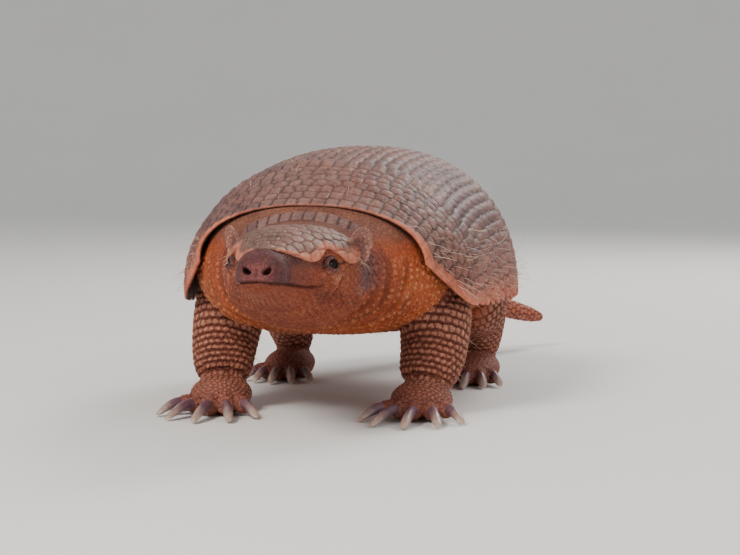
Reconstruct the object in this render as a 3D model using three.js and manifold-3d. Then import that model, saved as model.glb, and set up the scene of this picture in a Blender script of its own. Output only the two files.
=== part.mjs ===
// Six-banded armadillo, life size, standing squarely on its four feet, its head level and its
// tail swung to its left. Millimetres. +Z is up, the nose points along -Y, and +X is its left.
// The origin is on the floor, midway between the front of the nose and the back of the tail.
import * as THREE from "three";
import { mergeVertices } from "three/addons/utils/BufferGeometryUtils.js";
import Module from "manifold-3d";

const wasm = await Module();
wasm.setup();

// ---- Driving dimensions -------------------------------------------------------------------

const GAP = 0.3; // clearance between neighbouring pieces
const MIDDLE_Y = -18.9; // midway along the animal, in the frame in which its stations are given
const NOSE_Y = -332;
const NOSE_Z = 106;
const NECK_PLANE_Y = -204; // where the neck ends and the trunk begins
const BACK_PLANE_Y = 101; // where the trunk ends and the tail begins

const HEAD_PITCH = THREE.MathUtils.degToRad(-5); // the head's axis falls this much towards the neck
const HEAD_LENGTH = 114;
const HEAD_POWER = 2.4; // squareness of the head's cross-section
const HEAD_SHIELD = { from: 17, to: 107, thick: 2.4, sink: 1.4 };

const EYE = { along: 59, side: 29.6, up: 7, radius: 4.7 };
const EAR = {
  along: 92,
  side: 38.5,
  up: 9,
  lean: [0.32, 0.14, 0.94],
  opening: [0.8, -0.6, 0],
  height: 30,
  halfWidth: 10.5,
  thick: 2.6,
  rootWide: 0.74, // width at the root, as a share of the full width
  roundFrom: 0.55, // share of the height where the round top begins
  roundOver: 0.465, // how much of the height the round top would take to close
  cup: 6, // how far the rims stand forward of the middle, halved by the top
  bow: 4, // how far the ear bows back
  bowTurn: 2.6, // angle of the bow's arc, in radians
};

const NECK_BAND = { y: -217, half: 5, reach: 0.9 };

const SHELL_THICK = 4;
const SHELL_SIDES = 18;
const SHELL_POWER = 0.88; // 1 makes an elliptical arch, less makes squarer shoulders
const SHOULDER_ROWS = 6;
const BAND_COUNT = 6;
const HIP_ROWS = 11;
const BAND_LIP = 1.6; // how far the back edge of a band stands over the next one
const TOTAL_ROWS = SHOULDER_ROWS + BAND_COUNT + HIP_ROWS;

const FLANK_Z = 100; // height at which the trunk is widest

// ---- Curves -------------------------------------------------------------------------------

// A smooth curve through stations [x, value, value, ...]; returns the values at x.
function through(stations) {
  const slope = (i, k) => {
    const a = stations[Math.max(i - 1, 0)];
    const b = stations[Math.min(i + 1, stations.length - 1)];
    return (b[k] - a[k]) / (b[0] - a[0]);
  };
  return (x) => {
    const last = stations.length - 2;
    let i = stations.findIndex((row) => row[0] > x) - 1;
    i = i < 0 ? (x < stations[0][0] ? 0 : last) : i;
    const [a, b] = [stations[i], stations[i + 1]];
    const span = b[0] - a[0];
    const t = THREE.MathUtils.clamp((x - a[0]) / span, 0, 1);
    return a.slice(1).map((from, n) => {
      const k = n + 1;
      const bend = t * (1 - t) * ((1 - t) * slope(i, k) - t * slope(i + 1, k)) * span;
      return from + (b[k] - from) * t * t * (3 - 2 * t) + bend;
    });
  };
}

const power = (v, p) => Math.sign(v) * Math.abs(v) ** p;

// Head: distance back from the nose, half width, height above the axis, depth below it.
const headSize = through([
  [0, 8.5, 8.5, 6],
  [4, 12.5, 12, 9.5],
  [10, 14, 14, 12.5],
  [20, 15, 16, 15.5],
  [35, 20, 20.5, 19],
  [50, 28, 25.5, 22.5],
  [62, 34.5, 28.5, 25.5],
  [76, 40.5, 31, 28.5],
  [90, 44, 32, 31],
  [102, 44, 31, 32.5],
  [HEAD_LENGTH, 39, 28, 32.5],
]);

// Body, neck to rump: y, half width, top, bottom.
const bodySize = through([
  [-238, 40, 128, 76],
  [-222, 49, 134, 69],
  [-208, 64, 141, 62],
  [-194, 74, 149, 58],
  [-176, 82, 157, 55],
  [-150, 93, 165, 54],
  [-100, 100, 175, 50],
  [-40, 103, 179, 48],
  [20, 102, 177, 48],
  [60, 90, 164, 53],
  [90, 62, 141, 64],
  [108, 32, 113, 76],
]);

// Shell: row number, then the back's midline (y, z) and the lower margin (x, y, z).
const shellBack = through([
  [0, -207, 144],
  [3, -172, 160],
  [6, -136, 171],
  [9, -76, 179],
  [12, -14, 181],
  [15, 26, 178],
  [18, 64, 164],
  [21, 94, 138],
  [23, 106, 113],
]);
const shellMargin = through([
  [0, 78, -196, 104],
  [3, 99, -160, 78],
  [6, 105, -122, 72],
  [9, 108, -68, 69],
  [12, 110, -12, 68],
  [15, 108, 26, 69],
  [18, 97, 62, 71],
  [21, 66, 94, 76],
  [23, 36, 110, 84],
]);

const tailPath = new THREE.CatmullRomCurve3(
  [
    [0, 84, 94],
    [1, 118, 92],
    [9, 160, 80],
    [34, 209, 58],
    [65, 254, 39],
    [92, 294, 27],
  ].map((p) => new THREE.Vector3(...p)),
);
const tailRadius = through([
  [0, 23],
  [0.15, 22],
  [0.32, 17.5],
  [0.55, 13],
  [0.78, 9],
  [0.95, 6],
  [1, 3.5],
]);

// ---- From three.js geometry to solids and back --------------------------------------------

function toSolid(geometry) {
  const bare = new THREE.BufferGeometry();
  bare.setAttribute("position", geometry.getAttribute("position"));
  bare.setIndex(geometry.index);
  const merged = mergeVertices(bare, 1e-3);
  const triVerts = new Uint32Array(merged.index.array);
  const vertProperties = merged.attributes.position.array;
  const make = () => new wasm.Manifold(new wasm.Mesh({ numProp: 3, vertProperties, triVerts }));
  const solid = make();
  if (solid.volume() >= 0) return solid;
  for (let i = 0; i < triVerts.length; i += 3) {
    [triVerts[i + 1], triVerts[i + 2]] = [triVerts[i + 2], triVerts[i + 1]];
  }
  return make();
}

// The solid with each vertex moved out along its normal.
function grown(solid, by) {
  const made = solid.getMesh();
  const geometry = new THREE.BufferGeometry();
  geometry.setAttribute("position", new THREE.BufferAttribute(made.vertProperties, 3));
  geometry.setIndex(new THREE.BufferAttribute(made.triVerts, 1));
  geometry.computeVertexNormals();
  const places = geometry.attributes.position;
  const normals = geometry.attributes.normal;
  for (let i = 0; i < places.count; i++) {
    const p = new THREE.Vector3().fromBufferAttribute(places, i);
    p.addScaledVector(new THREE.Vector3().fromBufferAttribute(normals, i), by);
    places.setXYZ(i, p.x, p.y, p.z);
  }
  return toSolid(geometry);
}

// The largest body of a cut, without the slivers that a cut may leave beside it.
function largest(solid) {
  return solid.decompose().reduce((a, b) => (b.volume() > a.volume() ? b : a));
}

const materials = {
  skin: new THREE.MeshStandardMaterial({ color: 0xa8653c, roughness: 0.8, metalness: 0 }),
  shell: new THREE.MeshStandardMaterial({ color: 0xa98468, roughness: 0.65, metalness: 0 }),
  tail: new THREE.MeshStandardMaterial({ color: 0xb56f4c, roughness: 0.7, metalness: 0 }),
  claw: new THREE.MeshStandardMaterial({ color: 0x9a8076, roughness: 0.45, metalness: 0 }),
  eye: new THREE.MeshStandardMaterial({ color: 0x1a100c, roughness: 0.1, metalness: 0 }),
};

const armadillo = new THREE.Group();

function addNode(name, solid, material) {
  const made = largest(solid).getMesh();
  const geometry = new THREE.BufferGeometry();
  geometry.setAttribute("position", new THREE.BufferAttribute(made.vertProperties, 3));
  geometry.setIndex(new THREE.BufferAttribute(made.triVerts, 1));
  geometry.computeVertexNormals();
  const mesh = new THREE.Mesh(geometry, material);
  mesh.name = name;
  mesh.position.y = -MIDDLE_Y;
  armadillo.add(mesh);
}

// ---- Shaping helpers ----------------------------------------------------------------------

// A closed tube: at(angle, t) is the point on the wall, and middle(t) the ring's centre.
function tube(sides, rings, at, middle) {
  const geometry = new THREE.CylinderGeometry(1, 1, 1, sides, rings);
  const places = geometry.attributes.position;
  for (let i = 0; i < places.count; i++) {
    const p = new THREE.Vector3().fromBufferAttribute(places, i);
    const t = 0.5 - p.y;
    const onWall = Math.hypot(p.x, p.z) > 0.5;
    const q = onWall ? at(Math.atan2(p.x, p.z), t) : middle(t);
    places.setXYZ(i, q.x, q.y, q.z);
  }
  return toSolid(geometry);
}

// A bent slab: at(u, v, w) takes u and v from -1 to 1 over its face, and w from 0 inside to 1 outside.
function slab(across, along, at) {
  const geometry = new THREE.BoxGeometry(2, 1, 2, across, 1, along);
  const places = geometry.attributes.position;
  for (let i = 0; i < places.count; i++) {
    const q = at(places.getX(i), places.getZ(i), places.getY(i) + 0.5);
    places.setXYZ(i, q.x, q.y, q.z);
  }
  return toSolid(geometry);
}

// A limb along a path. size(t) gives the half width along X and the half depth across it.
function limb(points, size, sides = 9, rings = 4) {
  const path = new THREE.CatmullRomCurve3(points.map((p) => new THREE.Vector3(...p)));
  const middle = (t) => path.getPoint(t);
  const at = (angle, t) => {
    const along = path.getTangent(t);
    const side = new THREE.Vector3(1, 0, 0).projectOnPlane(along).normalize();
    const depth = new THREE.Vector3().crossVectors(along, side);
    const [wide, deep] = size(t);
    const round = Math.sqrt(Math.max(1 - (2 * t - 1) ** 20, 0.1)); // soft ends
    return middle(t)
      .addScaledVector(side, Math.sin(angle) * wide * round)
      .addScaledVector(depth, Math.cos(angle) * deep * round);
  };
  return tube(sides, rings, at, middle);
}

function ball(centre, radii, widthSegments = 9, heightSegments = 5) {
  const geometry = new THREE.SphereGeometry(1, widthSegments, heightSegments);
  geometry.scale(...radii);
  geometry.translate(...centre);
  return toSolid(geometry);
}

const mirrored = (solid) => solid.mirror([1, 0, 0]);

// Adds a piece of the left side and its mirror image on the right.
function addPair(name, left, material) {
  addNode(`${name}_left`, left, material);
  addNode(`${name}_right`, mirrored(left), material);
}

const joined = (solids) => solids.reduce((a, b) => a.add(b));

// ---- Head ---------------------------------------------------------------------------------

// A point in the head's own frame: x, distance back from the nose, height above the axis.
function headPlace(x, back, up) {
  return new THREE.Vector3(
    x,
    NOSE_Y + back * Math.cos(HEAD_PITCH) - up * Math.sin(HEAD_PITCH),
    NOSE_Z + back * Math.sin(HEAD_PITCH) + up * Math.cos(HEAD_PITCH),
  );
}

// A point on the head, angle 0 at the top and growing to the animal's left, lifted off the skin.
function onHead(back, angle, lift = 0) {
  const [wide, top, bottom] = headSize(back);
  const up = Math.cos(angle) > 0 ? top : bottom;
  return headPlace(
    (wide + lift) * power(Math.sin(angle), 2 / HEAD_POWER),
    back,
    (up + lift) * power(Math.cos(angle), 2 / HEAD_POWER),
  );
}

function headForm() {
  const eased = (t) => HEAD_LENGTH * t ** 1.35; // closer rings at the nose
  return tube(
    18,
    9,
    (angle, t) => onHead(eased(t), angle),
    (t) => headPlace(0, eased(t), 0),
  );
}

// How far round the head the shield reaches, as an angle from the top: it notches over the eye.
function headShieldReach(back) {
  const notch = Math.exp(-(((back - EYE.along) / 9) ** 2));
  const reach = through([
    [HEAD_SHIELD.from, 0.5],
    [29, 1],
    [42, 1.28],
    [58, 1.26],
    [75, 1.36],
    [90, 1.24],
    [HEAD_SHIELD.to, 0.66],
  ])(back)[0];
  return reach - 0.26 * notch;
}

function headShield(grow = 0) {
  const { from, to, thick, sink } = HEAD_SHIELD;
  return slab(8, 8, (u, v, w) => {
    const back = (from + to) / 2 + (v * (to - from)) / 2 + v * grow;
    const angle = u * (headShieldReach(back) + grow / 30);
    return onHead(back, angle, w * (thick + grow) - (1 - w) * (sink + grow));
  });
}

const EAR_ROOT = 5; // depth of the ear's root in the head

// A rounded cup, open to the front and side, on a root that narrows into the head.
function ear() {
  const up = new THREE.Vector3(...EAR.lean).normalize();
  const opening = new THREE.Vector3(...EAR.opening).projectOnPlane(up).normalize();
  const side = new THREE.Vector3().crossVectors(up, opening);
  const base = headPlace(EAR.side, EAR.along, EAR.up);
  return slab(6, 6, (u, v, w) => {
    const t = (v + 1) / 2;
    const round = Math.sqrt(1 - (Math.max(t - EAR.roundFrom, 0) / EAR.roundOver) ** 2);
    const spread = THREE.MathUtils.smoothstep(t, 0, EAR.roundFrom);
    const wide = EAR.halfWidth * round * THREE.MathUtils.lerp(EAR.rootWide, 1, spread);
    const forward = EAR.cup * u * u * (1 - t / 2) - EAR.bow * Math.sin(EAR.bowTurn * t);
    return base
      .clone()
      .addScaledVector(up, EAR.height * t - EAR_ROOT)
      .addScaledVector(side, u * wide)
      .addScaledVector(opening, forward + (w - 0.5) * EAR.thick);
  });
}

// ---- Shell --------------------------------------------------------------------------------

// A point of the shell's outer face: row number along the back, reach 0 at the midline to 1 at the margin.
function shellFace(row, reach) {
  const [backY, backZ] = shellBack(row);
  const [edgeX, edgeY, edgeZ] = shellMargin(row);
  const angle = (Math.abs(reach) * Math.PI) / 2;
  const drop = 1 - Math.cos(angle) ** SHELL_POWER;
  const out = Math.sin(angle) ** SHELL_POWER;
  return new THREE.Vector3(
    Math.sign(reach) * edgeX * out,
    backY + (edgeY - backY) * drop,
    backZ + (edgeZ - backZ) * drop,
  );
}

// The same point lifted along the surface's normal.
function onShell(row, reach, lift) {
  const step = 0.02;
  const r = THREE.MathUtils.clamp(row, step, TOTAL_ROWS - step);
  const q = THREE.MathUtils.clamp(reach, -1 + step, 1 - step);
  const alongRow = shellFace(r + step, q).sub(shellFace(r - step, q));
  const round = shellFace(r, q + step).sub(shellFace(r, q - step));
  const normal = new THREE.Vector3().crossVectors(alongRow, round).normalize();
  return shellFace(row, reach).addScaledVector(normal, -lift);
}

// Rows at which the faceted shell bends. Plates and the body's recess share them, so their faces match.
const ROW_LINES = [0, 1.5, 3, 4.5, 6, 7, 8, 9, 10, 11, 12, 14, 16, 18, 20, 22, 23];
const ROW_LENGTH = 14; // the shortest row, along the back

// A plate of the shell between two of the rows. Its back edge stands up by lip over the next plate.
function shellPlate(from, to, lip) {
  const lines = ROW_LINES.filter((row) => row >= from && row <= to);
  const steps = lines.length - 1;
  return slab(SHELL_SIDES, steps, (u, v, w) => {
    const t = (v + 1) / 2;
    const gapHere = v === 1 ? GAP : 0;
    const row = lines[Math.round(t * steps)] - gapHere / ROW_LENGTH;
    const rise = w * lip * (t - 0.5);
    return onShell(row, u, rise - (1 - w) * SHELL_THICK);
  });
}

// All that lies outside the shell's inner face, less the gap.
function shellCutter() {
  const steps = ROW_LINES.length - 1;
  const cover = 20;
  return slab(SHELL_SIDES, steps, (u, v, w) => {
    const row = ROW_LINES[Math.round(((v + 1) / 2) * steps)];
    const place = onShell(row, u, w * cover - (1 - w) * (SHELL_THICK + GAP));
    if (Math.abs(u) === 1) place.z -= GAP;
    if (v === -1) place.y -= GAP;
    if (v === 1) place.y += GAP;
    return place;
  });
}

// A single row of scutes on the neck, between the head shield and the shoulder shield.
function neckBand(grow = 0) {
  return slab(12, 1, (u, v, w) => {
    const y = NECK_BAND.y + v * (NECK_BAND.half + grow);
    const [wide, top] = bodySize(y);
    const angle = u * (NECK_BAND.reach + grow / 40);
    const lift = w * (2 + grow) - (1 - w) * (1.4 + grow);
    return new THREE.Vector3(
      (wide + lift) * Math.sin(angle),
      y - 2 * Math.sin(angle) ** 2,
      FLANK_Z + (top - FLANK_Z + lift) * Math.cos(angle),
    );
  });
}

// ---- Body ---------------------------------------------------------------------------------

function bodyForm() {
  const from = -238;
  const to = 108;
  const place = (t) => from + (to - from) * t;
  return tube(
    18,
    10,
    (angle, t) => {
      const [wide, top, bottom] = bodySize(place(t));
      const up = Math.cos(angle);
      const reach = up > 0 ? top - FLANK_Z : FLANK_Z - bottom;
      const squareness = up > 0 ? 0.88 : 0.8;
      return new THREE.Vector3(
        wide * power(Math.sin(angle), squareness),
        place(t),
        FLANK_Z + reach * power(up, squareness),
      );
    },
    (t) => new THREE.Vector3(0, place(t), FLANK_Z),
  );
}

// ---- Legs ---------------------------------------------------------------------------------

const TOE_LENGTH = 13;
const TOE_Z = 8.5; // height of a toe's axis where it leaves the paw
const CLAW_ROOT = 3.5; // how deep a claw sits in its toe
const CLAW_DROP = 6.6; // from a claw's root to its tip

// Each toe: its bearing from straight ahead in degrees, towards the outside, and its claw's length.
const FORE = {
  limb: [
    [58, -140, 108],
    [71, -133, 78],
    [74, -146, 46],
    [71, -161, 20],
  ],
  width: through([
    [0, 26, 30],
    [0.4, 25, 28],
    [0.75, 22, 21],
    [1, 19, 16],
  ]),
  paw: { centre: [70, -170, 12], radii: [21, 25, 13.5] },
  toes: [
    { bearing: -40, claw: 20 },
    { bearing: -19, claw: 32 },
    { bearing: 0, claw: 35 },
    { bearing: 19, claw: 29 },
    { bearing: 39, claw: 19 },
  ],
  toeRadius: 5.6,
};
const HIND = {
  limb: [
    [60, 22, 106],
    [75, 14, 78],
    [77, 40, 50],
    [74, 60, 18],
  ],
  width: through([
    [0, 28, 38],
    [0.4, 25, 33],
    [0.75, 18, 20],
    [1, 14, 14],
  ]),
  paw: { centre: [74, 36, 10], radii: [18.5, 38, 13] },
  toes: [
    { bearing: -36, claw: 13 },
    { bearing: -17, claw: 18 },
    { bearing: 0, claw: 20 },
    { bearing: 17, claw: 17 },
    { bearing: 34, claw: 13 },
  ],
  toeRadius: 5.4,
};

// Where a toe starts and the way it points, level with the floor.
function toeLine(leg, toe) {
  const bearing = THREE.MathUtils.degToRad(toe.bearing);
  const ahead = new THREE.Vector3(Math.sin(bearing), -Math.cos(bearing), 0);
  const [x, y] = leg.paw.centre;
  const [wide, long] = leg.paw.radii;
  const root = new THREE.Vector3(
    x + wide * 0.78 * Math.sin(bearing * 1.5),
    y - long * 0.72 * Math.cos(bearing * 1.2),
    TOE_Z,
  );
  return { root, ahead };
}

// A tube of elliptical section along a line of toe or claw; size(t) is its half width and half height.
function digit(ahead, middle, size, rings) {
  const side = new THREE.Vector3(-ahead.y, ahead.x, 0);
  const at = (angle, t) => {
    const [wide, high] = size(t);
    return middle(t)
      .addScaledVector(side, Math.sin(angle) * wide)
      .addScaledVector(new THREE.Vector3(0, 0, 1), Math.cos(angle) * high);
  };
  return tube(6, rings, at, middle);
}

function toeForm(leg, toe) {
  const { root, ahead } = toeLine(leg, toe);
  const middle = (t) => root.clone().addScaledVector(ahead, TOE_LENGTH * t).setZ(TOE_Z - 1.3 * t);
  const size = (t) => [leg.toeRadius - t, leg.toeRadius + 1 - t];
  return digit(ahead, middle, size, 1);
}

function clawForm(leg, toe, grow = 0) {
  const { root, ahead } = toeLine(leg, toe);
  const start = root.clone().addScaledVector(ahead, TOE_LENGTH - CLAW_ROOT - grow);
  const size = through([
    [0, 3.5, 3.8],
    [0.4, 3.5, 3.7],
    [0.8, 2.8, 2.4],
    [1, 0.9, 0.9],
  ]);
  const middle = (t) =>
    start
      .clone()
      .addScaledVector(ahead, (toe.claw + CLAW_ROOT) * t)
      .setZ(TOE_Z - 0.1 + 1.2 * Math.sin(Math.PI * t) - CLAW_DROP * t ** 1.6);
  return digit(ahead, middle, (t) => size(t).map((half) => half + grow), 2);
}

function legForm(leg) {
  const parts = [limb(leg.limb, leg.width), ball(leg.paw.centre, leg.paw.radii)];
  return joined([...parts, ...leg.toes.map((toe) => toeForm(leg, toe))]);
}

// ---- Tail ---------------------------------------------------------------------------------

function tailForm() {
  const up = new THREE.Vector3(0, 0, 1);
  const middle = (t) => tailPath.getPoint(t);
  const at = (angle, t) => {
    const along = tailPath.getTangent(t);
    const rise = up.clone().projectOnPlane(along).normalize();
    const [radius] = tailRadius(t);
    return middle(t)
      .addScaledVector(new THREE.Vector3(1, 0, 0), Math.sin(angle) * radius)
      .addScaledVector(rise, Math.cos(angle) * radius);
  };
  return tube(12, 10, at, middle);
}

// ---- Putting it together ------------------------------------------------------------------

// The part of a solid between two heights along an axis, each cut leaving half the gap.
function between(solid, axis, low, high) {
  const back = axis.map((v) => -v);
  return solid.trimByPlane(axis, low + GAP / 2).trimByPlane(back, -high + GAP / 2);
}

const Y_AXIS = [0, 1, 0];
const FAR = 1000;

function buildShell() {
  const firstHipRow = SHOULDER_ROWS + BAND_COUNT;
  addNode("shoulder_shield", shellPlate(0, SHOULDER_ROWS, 0.6), materials.shell);
  for (let i = 0; i < BAND_COUNT; i++) {
    const from = SHOULDER_ROWS + i;
    addNode(`band_${i + 1}`, shellPlate(from, from + 1, BAND_LIP), materials.shell);
  }
  addNode("hip_shield", shellPlate(firstHipRow, TOTAL_ROWS, 0), materials.shell);
}

const earCutter = grown(ear(), 4 * GAP);

// The head's axis as a direction, and the distance along it of the cut between head and neck.
const HEAD_AXIS = [0, Math.cos(HEAD_PITCH), Math.sin(HEAD_PITCH)];
const headCut = headPlace(0, 101, 0).dot(new THREE.Vector3(...HEAD_AXIS));

function buildHead(rawHead) {
  const eyeCentre = headPlace(EYE.side, EYE.along, EYE.up).toArray();
  const r = EYE.radius;
  const socket = ball(eyeCentre, [r + GAP, r + GAP, r + GAP], 10, 6);
  let head = rawHead.trimByPlane(HEAD_AXIS.map((v) => -v), -headCut + GAP / 2);
  for (const cutter of [headShield(GAP), socket, mirrored(socket), earCutter, mirrored(earCutter)]) {
    head = head.subtract(cutter);
  }
  addNode("head", head, materials.skin);
  addNode("head_shield", headShield().subtract(earCutter).subtract(mirrored(earCutter)), materials.shell);
  addPair("ear", ear(), materials.skin);
  addPair("eye", ball(eyeCentre, [r, r, r], 10, 6), materials.eye);
}

function buildBody(rawHead, rawBody, shell) {
  let neck = rawBody.add(rawHead).trimByPlane(HEAD_AXIS, headCut + GAP / 2);
  neck = between(neck, Y_AXIS, -FAR, NECK_PLANE_Y);
  for (const cutter of [neckBand(GAP), headShield(GAP), earCutter, mirrored(earCutter), shell]) {
    neck = neck.subtract(cutter);
  }
  addNode("neck", neck, materials.skin);
  addNode("neck_band", neckBand(), materials.shell);
  const trunk = between(rawBody, Y_AXIS, NECK_PLANE_Y, BACK_PLANE_Y).subtract(shell);
  addNode("trunk", trunk, materials.skin);
}

function buildLegs(rawBody, shell) {
  const grownBody = rawBody.scale([1.003, 1.001, 1.003]).translate([0, 0, -FLANK_Z * 0.003]);
  for (const [name, leg] of Object.entries({ foreleg: FORE, hindleg: HIND })) {
    let solid = legForm(leg).trimByPlane([0, 0, 1], 0).subtract(grownBody).subtract(shell);
    leg.toes.forEach((toe, i) => {
      solid = solid.subtract(clawForm(leg, toe, GAP));
      addPair(`${name}_claw_${i + 1}`, clawForm(leg, toe), materials.claw);
    });
    addPair(name, solid, materials.skin);
  }
}

function buildTail(shell) {
  const whole = tailForm().subtract(shell);
  const cuts = [BACK_PLANE_Y, 158, 226, FAR];
  ["tail_base", "tail_middle", "tail_tip"].forEach((name, i) => {
    addNode(name, between(whole, Y_AXIS, cuts[i], cuts[i + 1]), materials.tail);
  });
}

buildShell();
const shell = shellCutter();
const rawHead = headForm();
const rawBody = bodyForm();
buildHead(rawHead);
buildBody(rawHead, rawBody, shell);
buildLegs(rawBody, shell);
buildTail(shell);

export default armadillo;
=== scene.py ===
import math
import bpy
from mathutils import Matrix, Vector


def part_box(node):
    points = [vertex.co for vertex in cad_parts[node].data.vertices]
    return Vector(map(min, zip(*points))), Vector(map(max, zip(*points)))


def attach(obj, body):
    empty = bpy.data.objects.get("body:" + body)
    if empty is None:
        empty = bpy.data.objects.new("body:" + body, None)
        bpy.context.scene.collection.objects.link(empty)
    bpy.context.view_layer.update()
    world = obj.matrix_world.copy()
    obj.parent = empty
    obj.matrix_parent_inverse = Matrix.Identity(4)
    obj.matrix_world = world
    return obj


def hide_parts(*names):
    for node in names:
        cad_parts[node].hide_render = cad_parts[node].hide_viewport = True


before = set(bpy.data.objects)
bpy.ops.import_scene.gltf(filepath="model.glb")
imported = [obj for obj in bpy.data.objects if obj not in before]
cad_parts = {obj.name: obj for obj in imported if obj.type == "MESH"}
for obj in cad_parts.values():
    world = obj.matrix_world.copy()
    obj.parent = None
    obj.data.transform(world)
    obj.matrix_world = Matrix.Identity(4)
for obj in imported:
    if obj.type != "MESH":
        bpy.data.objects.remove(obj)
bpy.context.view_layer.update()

from types import SimpleNamespace

import bmesh
import bpy
import numpy as np
from mathutils import Vector
from mathutils.kdtree import KDTree

# A six-banded armadillo. Shapes are worked out in millimetres, with the stations of the CAD source:
# +Z is up, the nose points along -Y, and +X is the animal's left. SHIFT takes them to the model's origin.

MM = 0.001
SHIFT = np.array([0, 18.9, 0])
SIDES = {"left": 1, "right": -1}
rng = np.random.default_rng(60)


# ---- Small mathematics --------------------------------------------------------------------

def through(stations):
    """A smooth curve through rows [x, value, value, ...]; gives the values at an array of x."""
    table = np.array(stations, float)
    x, values = table[:, 0], table[:, 1:]
    slope = np.empty_like(values)
    slope[1:-1] = (values[2:] - values[:-2]) / (x[2:] - x[:-2])[:, None]
    slope[0] = (values[1] - values[0]) / (x[1] - x[0])
    slope[-1] = (values[-1] - values[-2]) / (x[-1] - x[-2])

    def at(where):
        where = np.clip(np.asarray(where, float), x[0], x[-1])
        i = np.clip(np.searchsorted(x, where, side="right") - 1, 0, len(x) - 2)
        span = (x[i + 1] - x[i])[..., None]
        t = (where - x[i])[..., None] / span
        bend = t * (1 - t) * ((1 - t) * slope[i] - t * slope[i + 1]) * span
        return values[i] + (values[i + 1] - values[i]) * t * t * (3 - 2 * t) + bend
    return at


def power(v, p):
    """v to the power p, with its sign kept."""
    return np.sign(v) * np.abs(v) ** p


def ease(low, high, v):
    """A smooth step from 0 at low to 1 at high."""
    t = np.clip((np.asarray(v, float) - low) / (high - low), 0, 1)
    return t * t * (3 - 2 * t)


def fade(low, high, v):
    """A smooth step from 1 at low to 0 at high."""
    return 1 - ease(low, high, v)


def bump(v, centre, width):
    """A bell-shaped rise to 1 at the centre."""
    return np.exp(-((v - centre) / width) ** 2)


def unit(v):
    v = np.asarray(v, float)
    return v / np.maximum(np.linalg.norm(v, axis=-1, keepdims=True), 1e-9)


def mix(a, b, share):
    """a with a share of b, for numbers or for colours and points."""
    share = np.asarray(share)
    share = share[..., None] if np.ndim(a) > share.ndim or np.ndim(b) > share.ndim else share
    return a + (b - a) * share


def distances(line, axis=0):
    """How far each point of a line, or of a grid along one axis, is from its start."""
    first = np.take(line, [0], axis)
    return np.cumsum(np.linalg.norm(np.diff(line, axis=axis, prepend=first), axis=-1), axis=axis)


def at_distances(line, places):
    """The points at given distances along a line."""
    far = distances(line)
    return np.stack([np.interp(places, far, line[:, k]) for k in range(3)], -1)


def tree_of(points):
    tree = KDTree(len(points))
    for i, point in enumerate(points):
        tree.insert(point, i)
    tree.balance()
    return tree


def layered(tint, *layers):
    """Lays colours over one another: each a colour and its share."""
    for colour, share in layers:
        tint = mix(tint, colour, share)
    return tint


wave_dirs = unit(rng.normal(size=(9, 3)))
wave_phases = rng.uniform(0, 2 * math.pi, 9)


def waves(points, size, shift=0):
    """Soft random relief from -1 to 1, with features about as wide as size."""
    turns = points @ wave_dirs.T * (2 / size) + wave_phases + shift
    folded = turns + 1.3 * np.sin(np.roll(turns, 1, axis=-1))
    return np.clip(np.sin(folded).sum(-1) / 3.5, -1, 1)


# ---- The animal's dimensions, as in the CAD model -----------------------------------------

NOSE_Y, NOSE_Z = -332, 106
HEAD_PITCH = math.radians(-5)
HEAD_LENGTH = 114
HEAD_POWER = 2.4
HEAD_SHIELD = {"from": 17, "to": 107, "thick": 2.4, "sink": 1.4}
NECK_BAND = {"y": -217, "half": 5, "reach": 0.9}
SHELL_POWER = 0.88
SHOULDER_ROWS, BAND_COUNT, HIP_ROWS = 6, 6, 11
TOTAL_ROWS = SHOULDER_ROWS + BAND_COUNT + HIP_ROWS
SHELL_THICK = 4
BAND_LIP = 1.6
OVERLAP = 0.06  # how far a band's back edge runs over the next one, in rows
FLANK_Z = 100
TOE_LENGTH, TOE_Z, CLAW_ROOT, CLAW_DROP = 13, 8.5, 3.5, 6.6

head_size = through([
    [0, 8.5, 8.5, 6], [4, 12.5, 12, 9.5], [10, 14, 14, 12.5], [20, 15, 16, 15.5],
    [35, 20, 20.5, 19], [50, 28, 25.5, 22.5], [62, 34.5, 28.5, 25.5], [76, 40.5, 31, 28.5],
    [90, 44, 32, 31], [102, 44, 31, 32.5], [HEAD_LENGTH, 39, 28, 32.5],
])
body_size = through([
    [-238, 40, 128, 76], [-222, 49, 134, 69], [-208, 64, 141, 62], [-194, 74, 149, 58],
    [-176, 82, 157, 55], [-150, 93, 165, 54], [-100, 100, 175, 50], [-40, 103, 179, 48], [20, 102, 177, 48],
    [60, 90, 164, 53], [90, 62, 141, 64], [108, 32, 113, 76],
])
shell_back = through([
    [0, -207, 144], [3, -172, 160], [6, -136, 171], [9, -76, 179], [12, -14, 181],
    [15, 26, 178], [18, 64, 164], [21, 94, 138], [23, 106, 113],
])
shell_margin = through([
    [0, 78, -196, 104], [3, 99, -160, 78], [6, 105, -122, 72], [9, 108, -68, 69],
    [12, 110, -12, 68], [15, 108, 26, 69], [18, 97, 62, 71], [21, 66, 94, 76], [23, 36, 110, 84],
])
tail_path = through([
    [0, 0, 84, 94], [0.2, 1, 118, 92], [0.4, 9, 160, 80], [0.6, 34, 209, 58],
    [0.8, 65, 254, 39], [1, 92, 294, 27],
])
tail_radius = through([[0, 23], [0.15, 22], [0.32, 17.5], [0.55, 13], [0.78, 9], [0.95, 6], [1, 3.5]])

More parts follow.
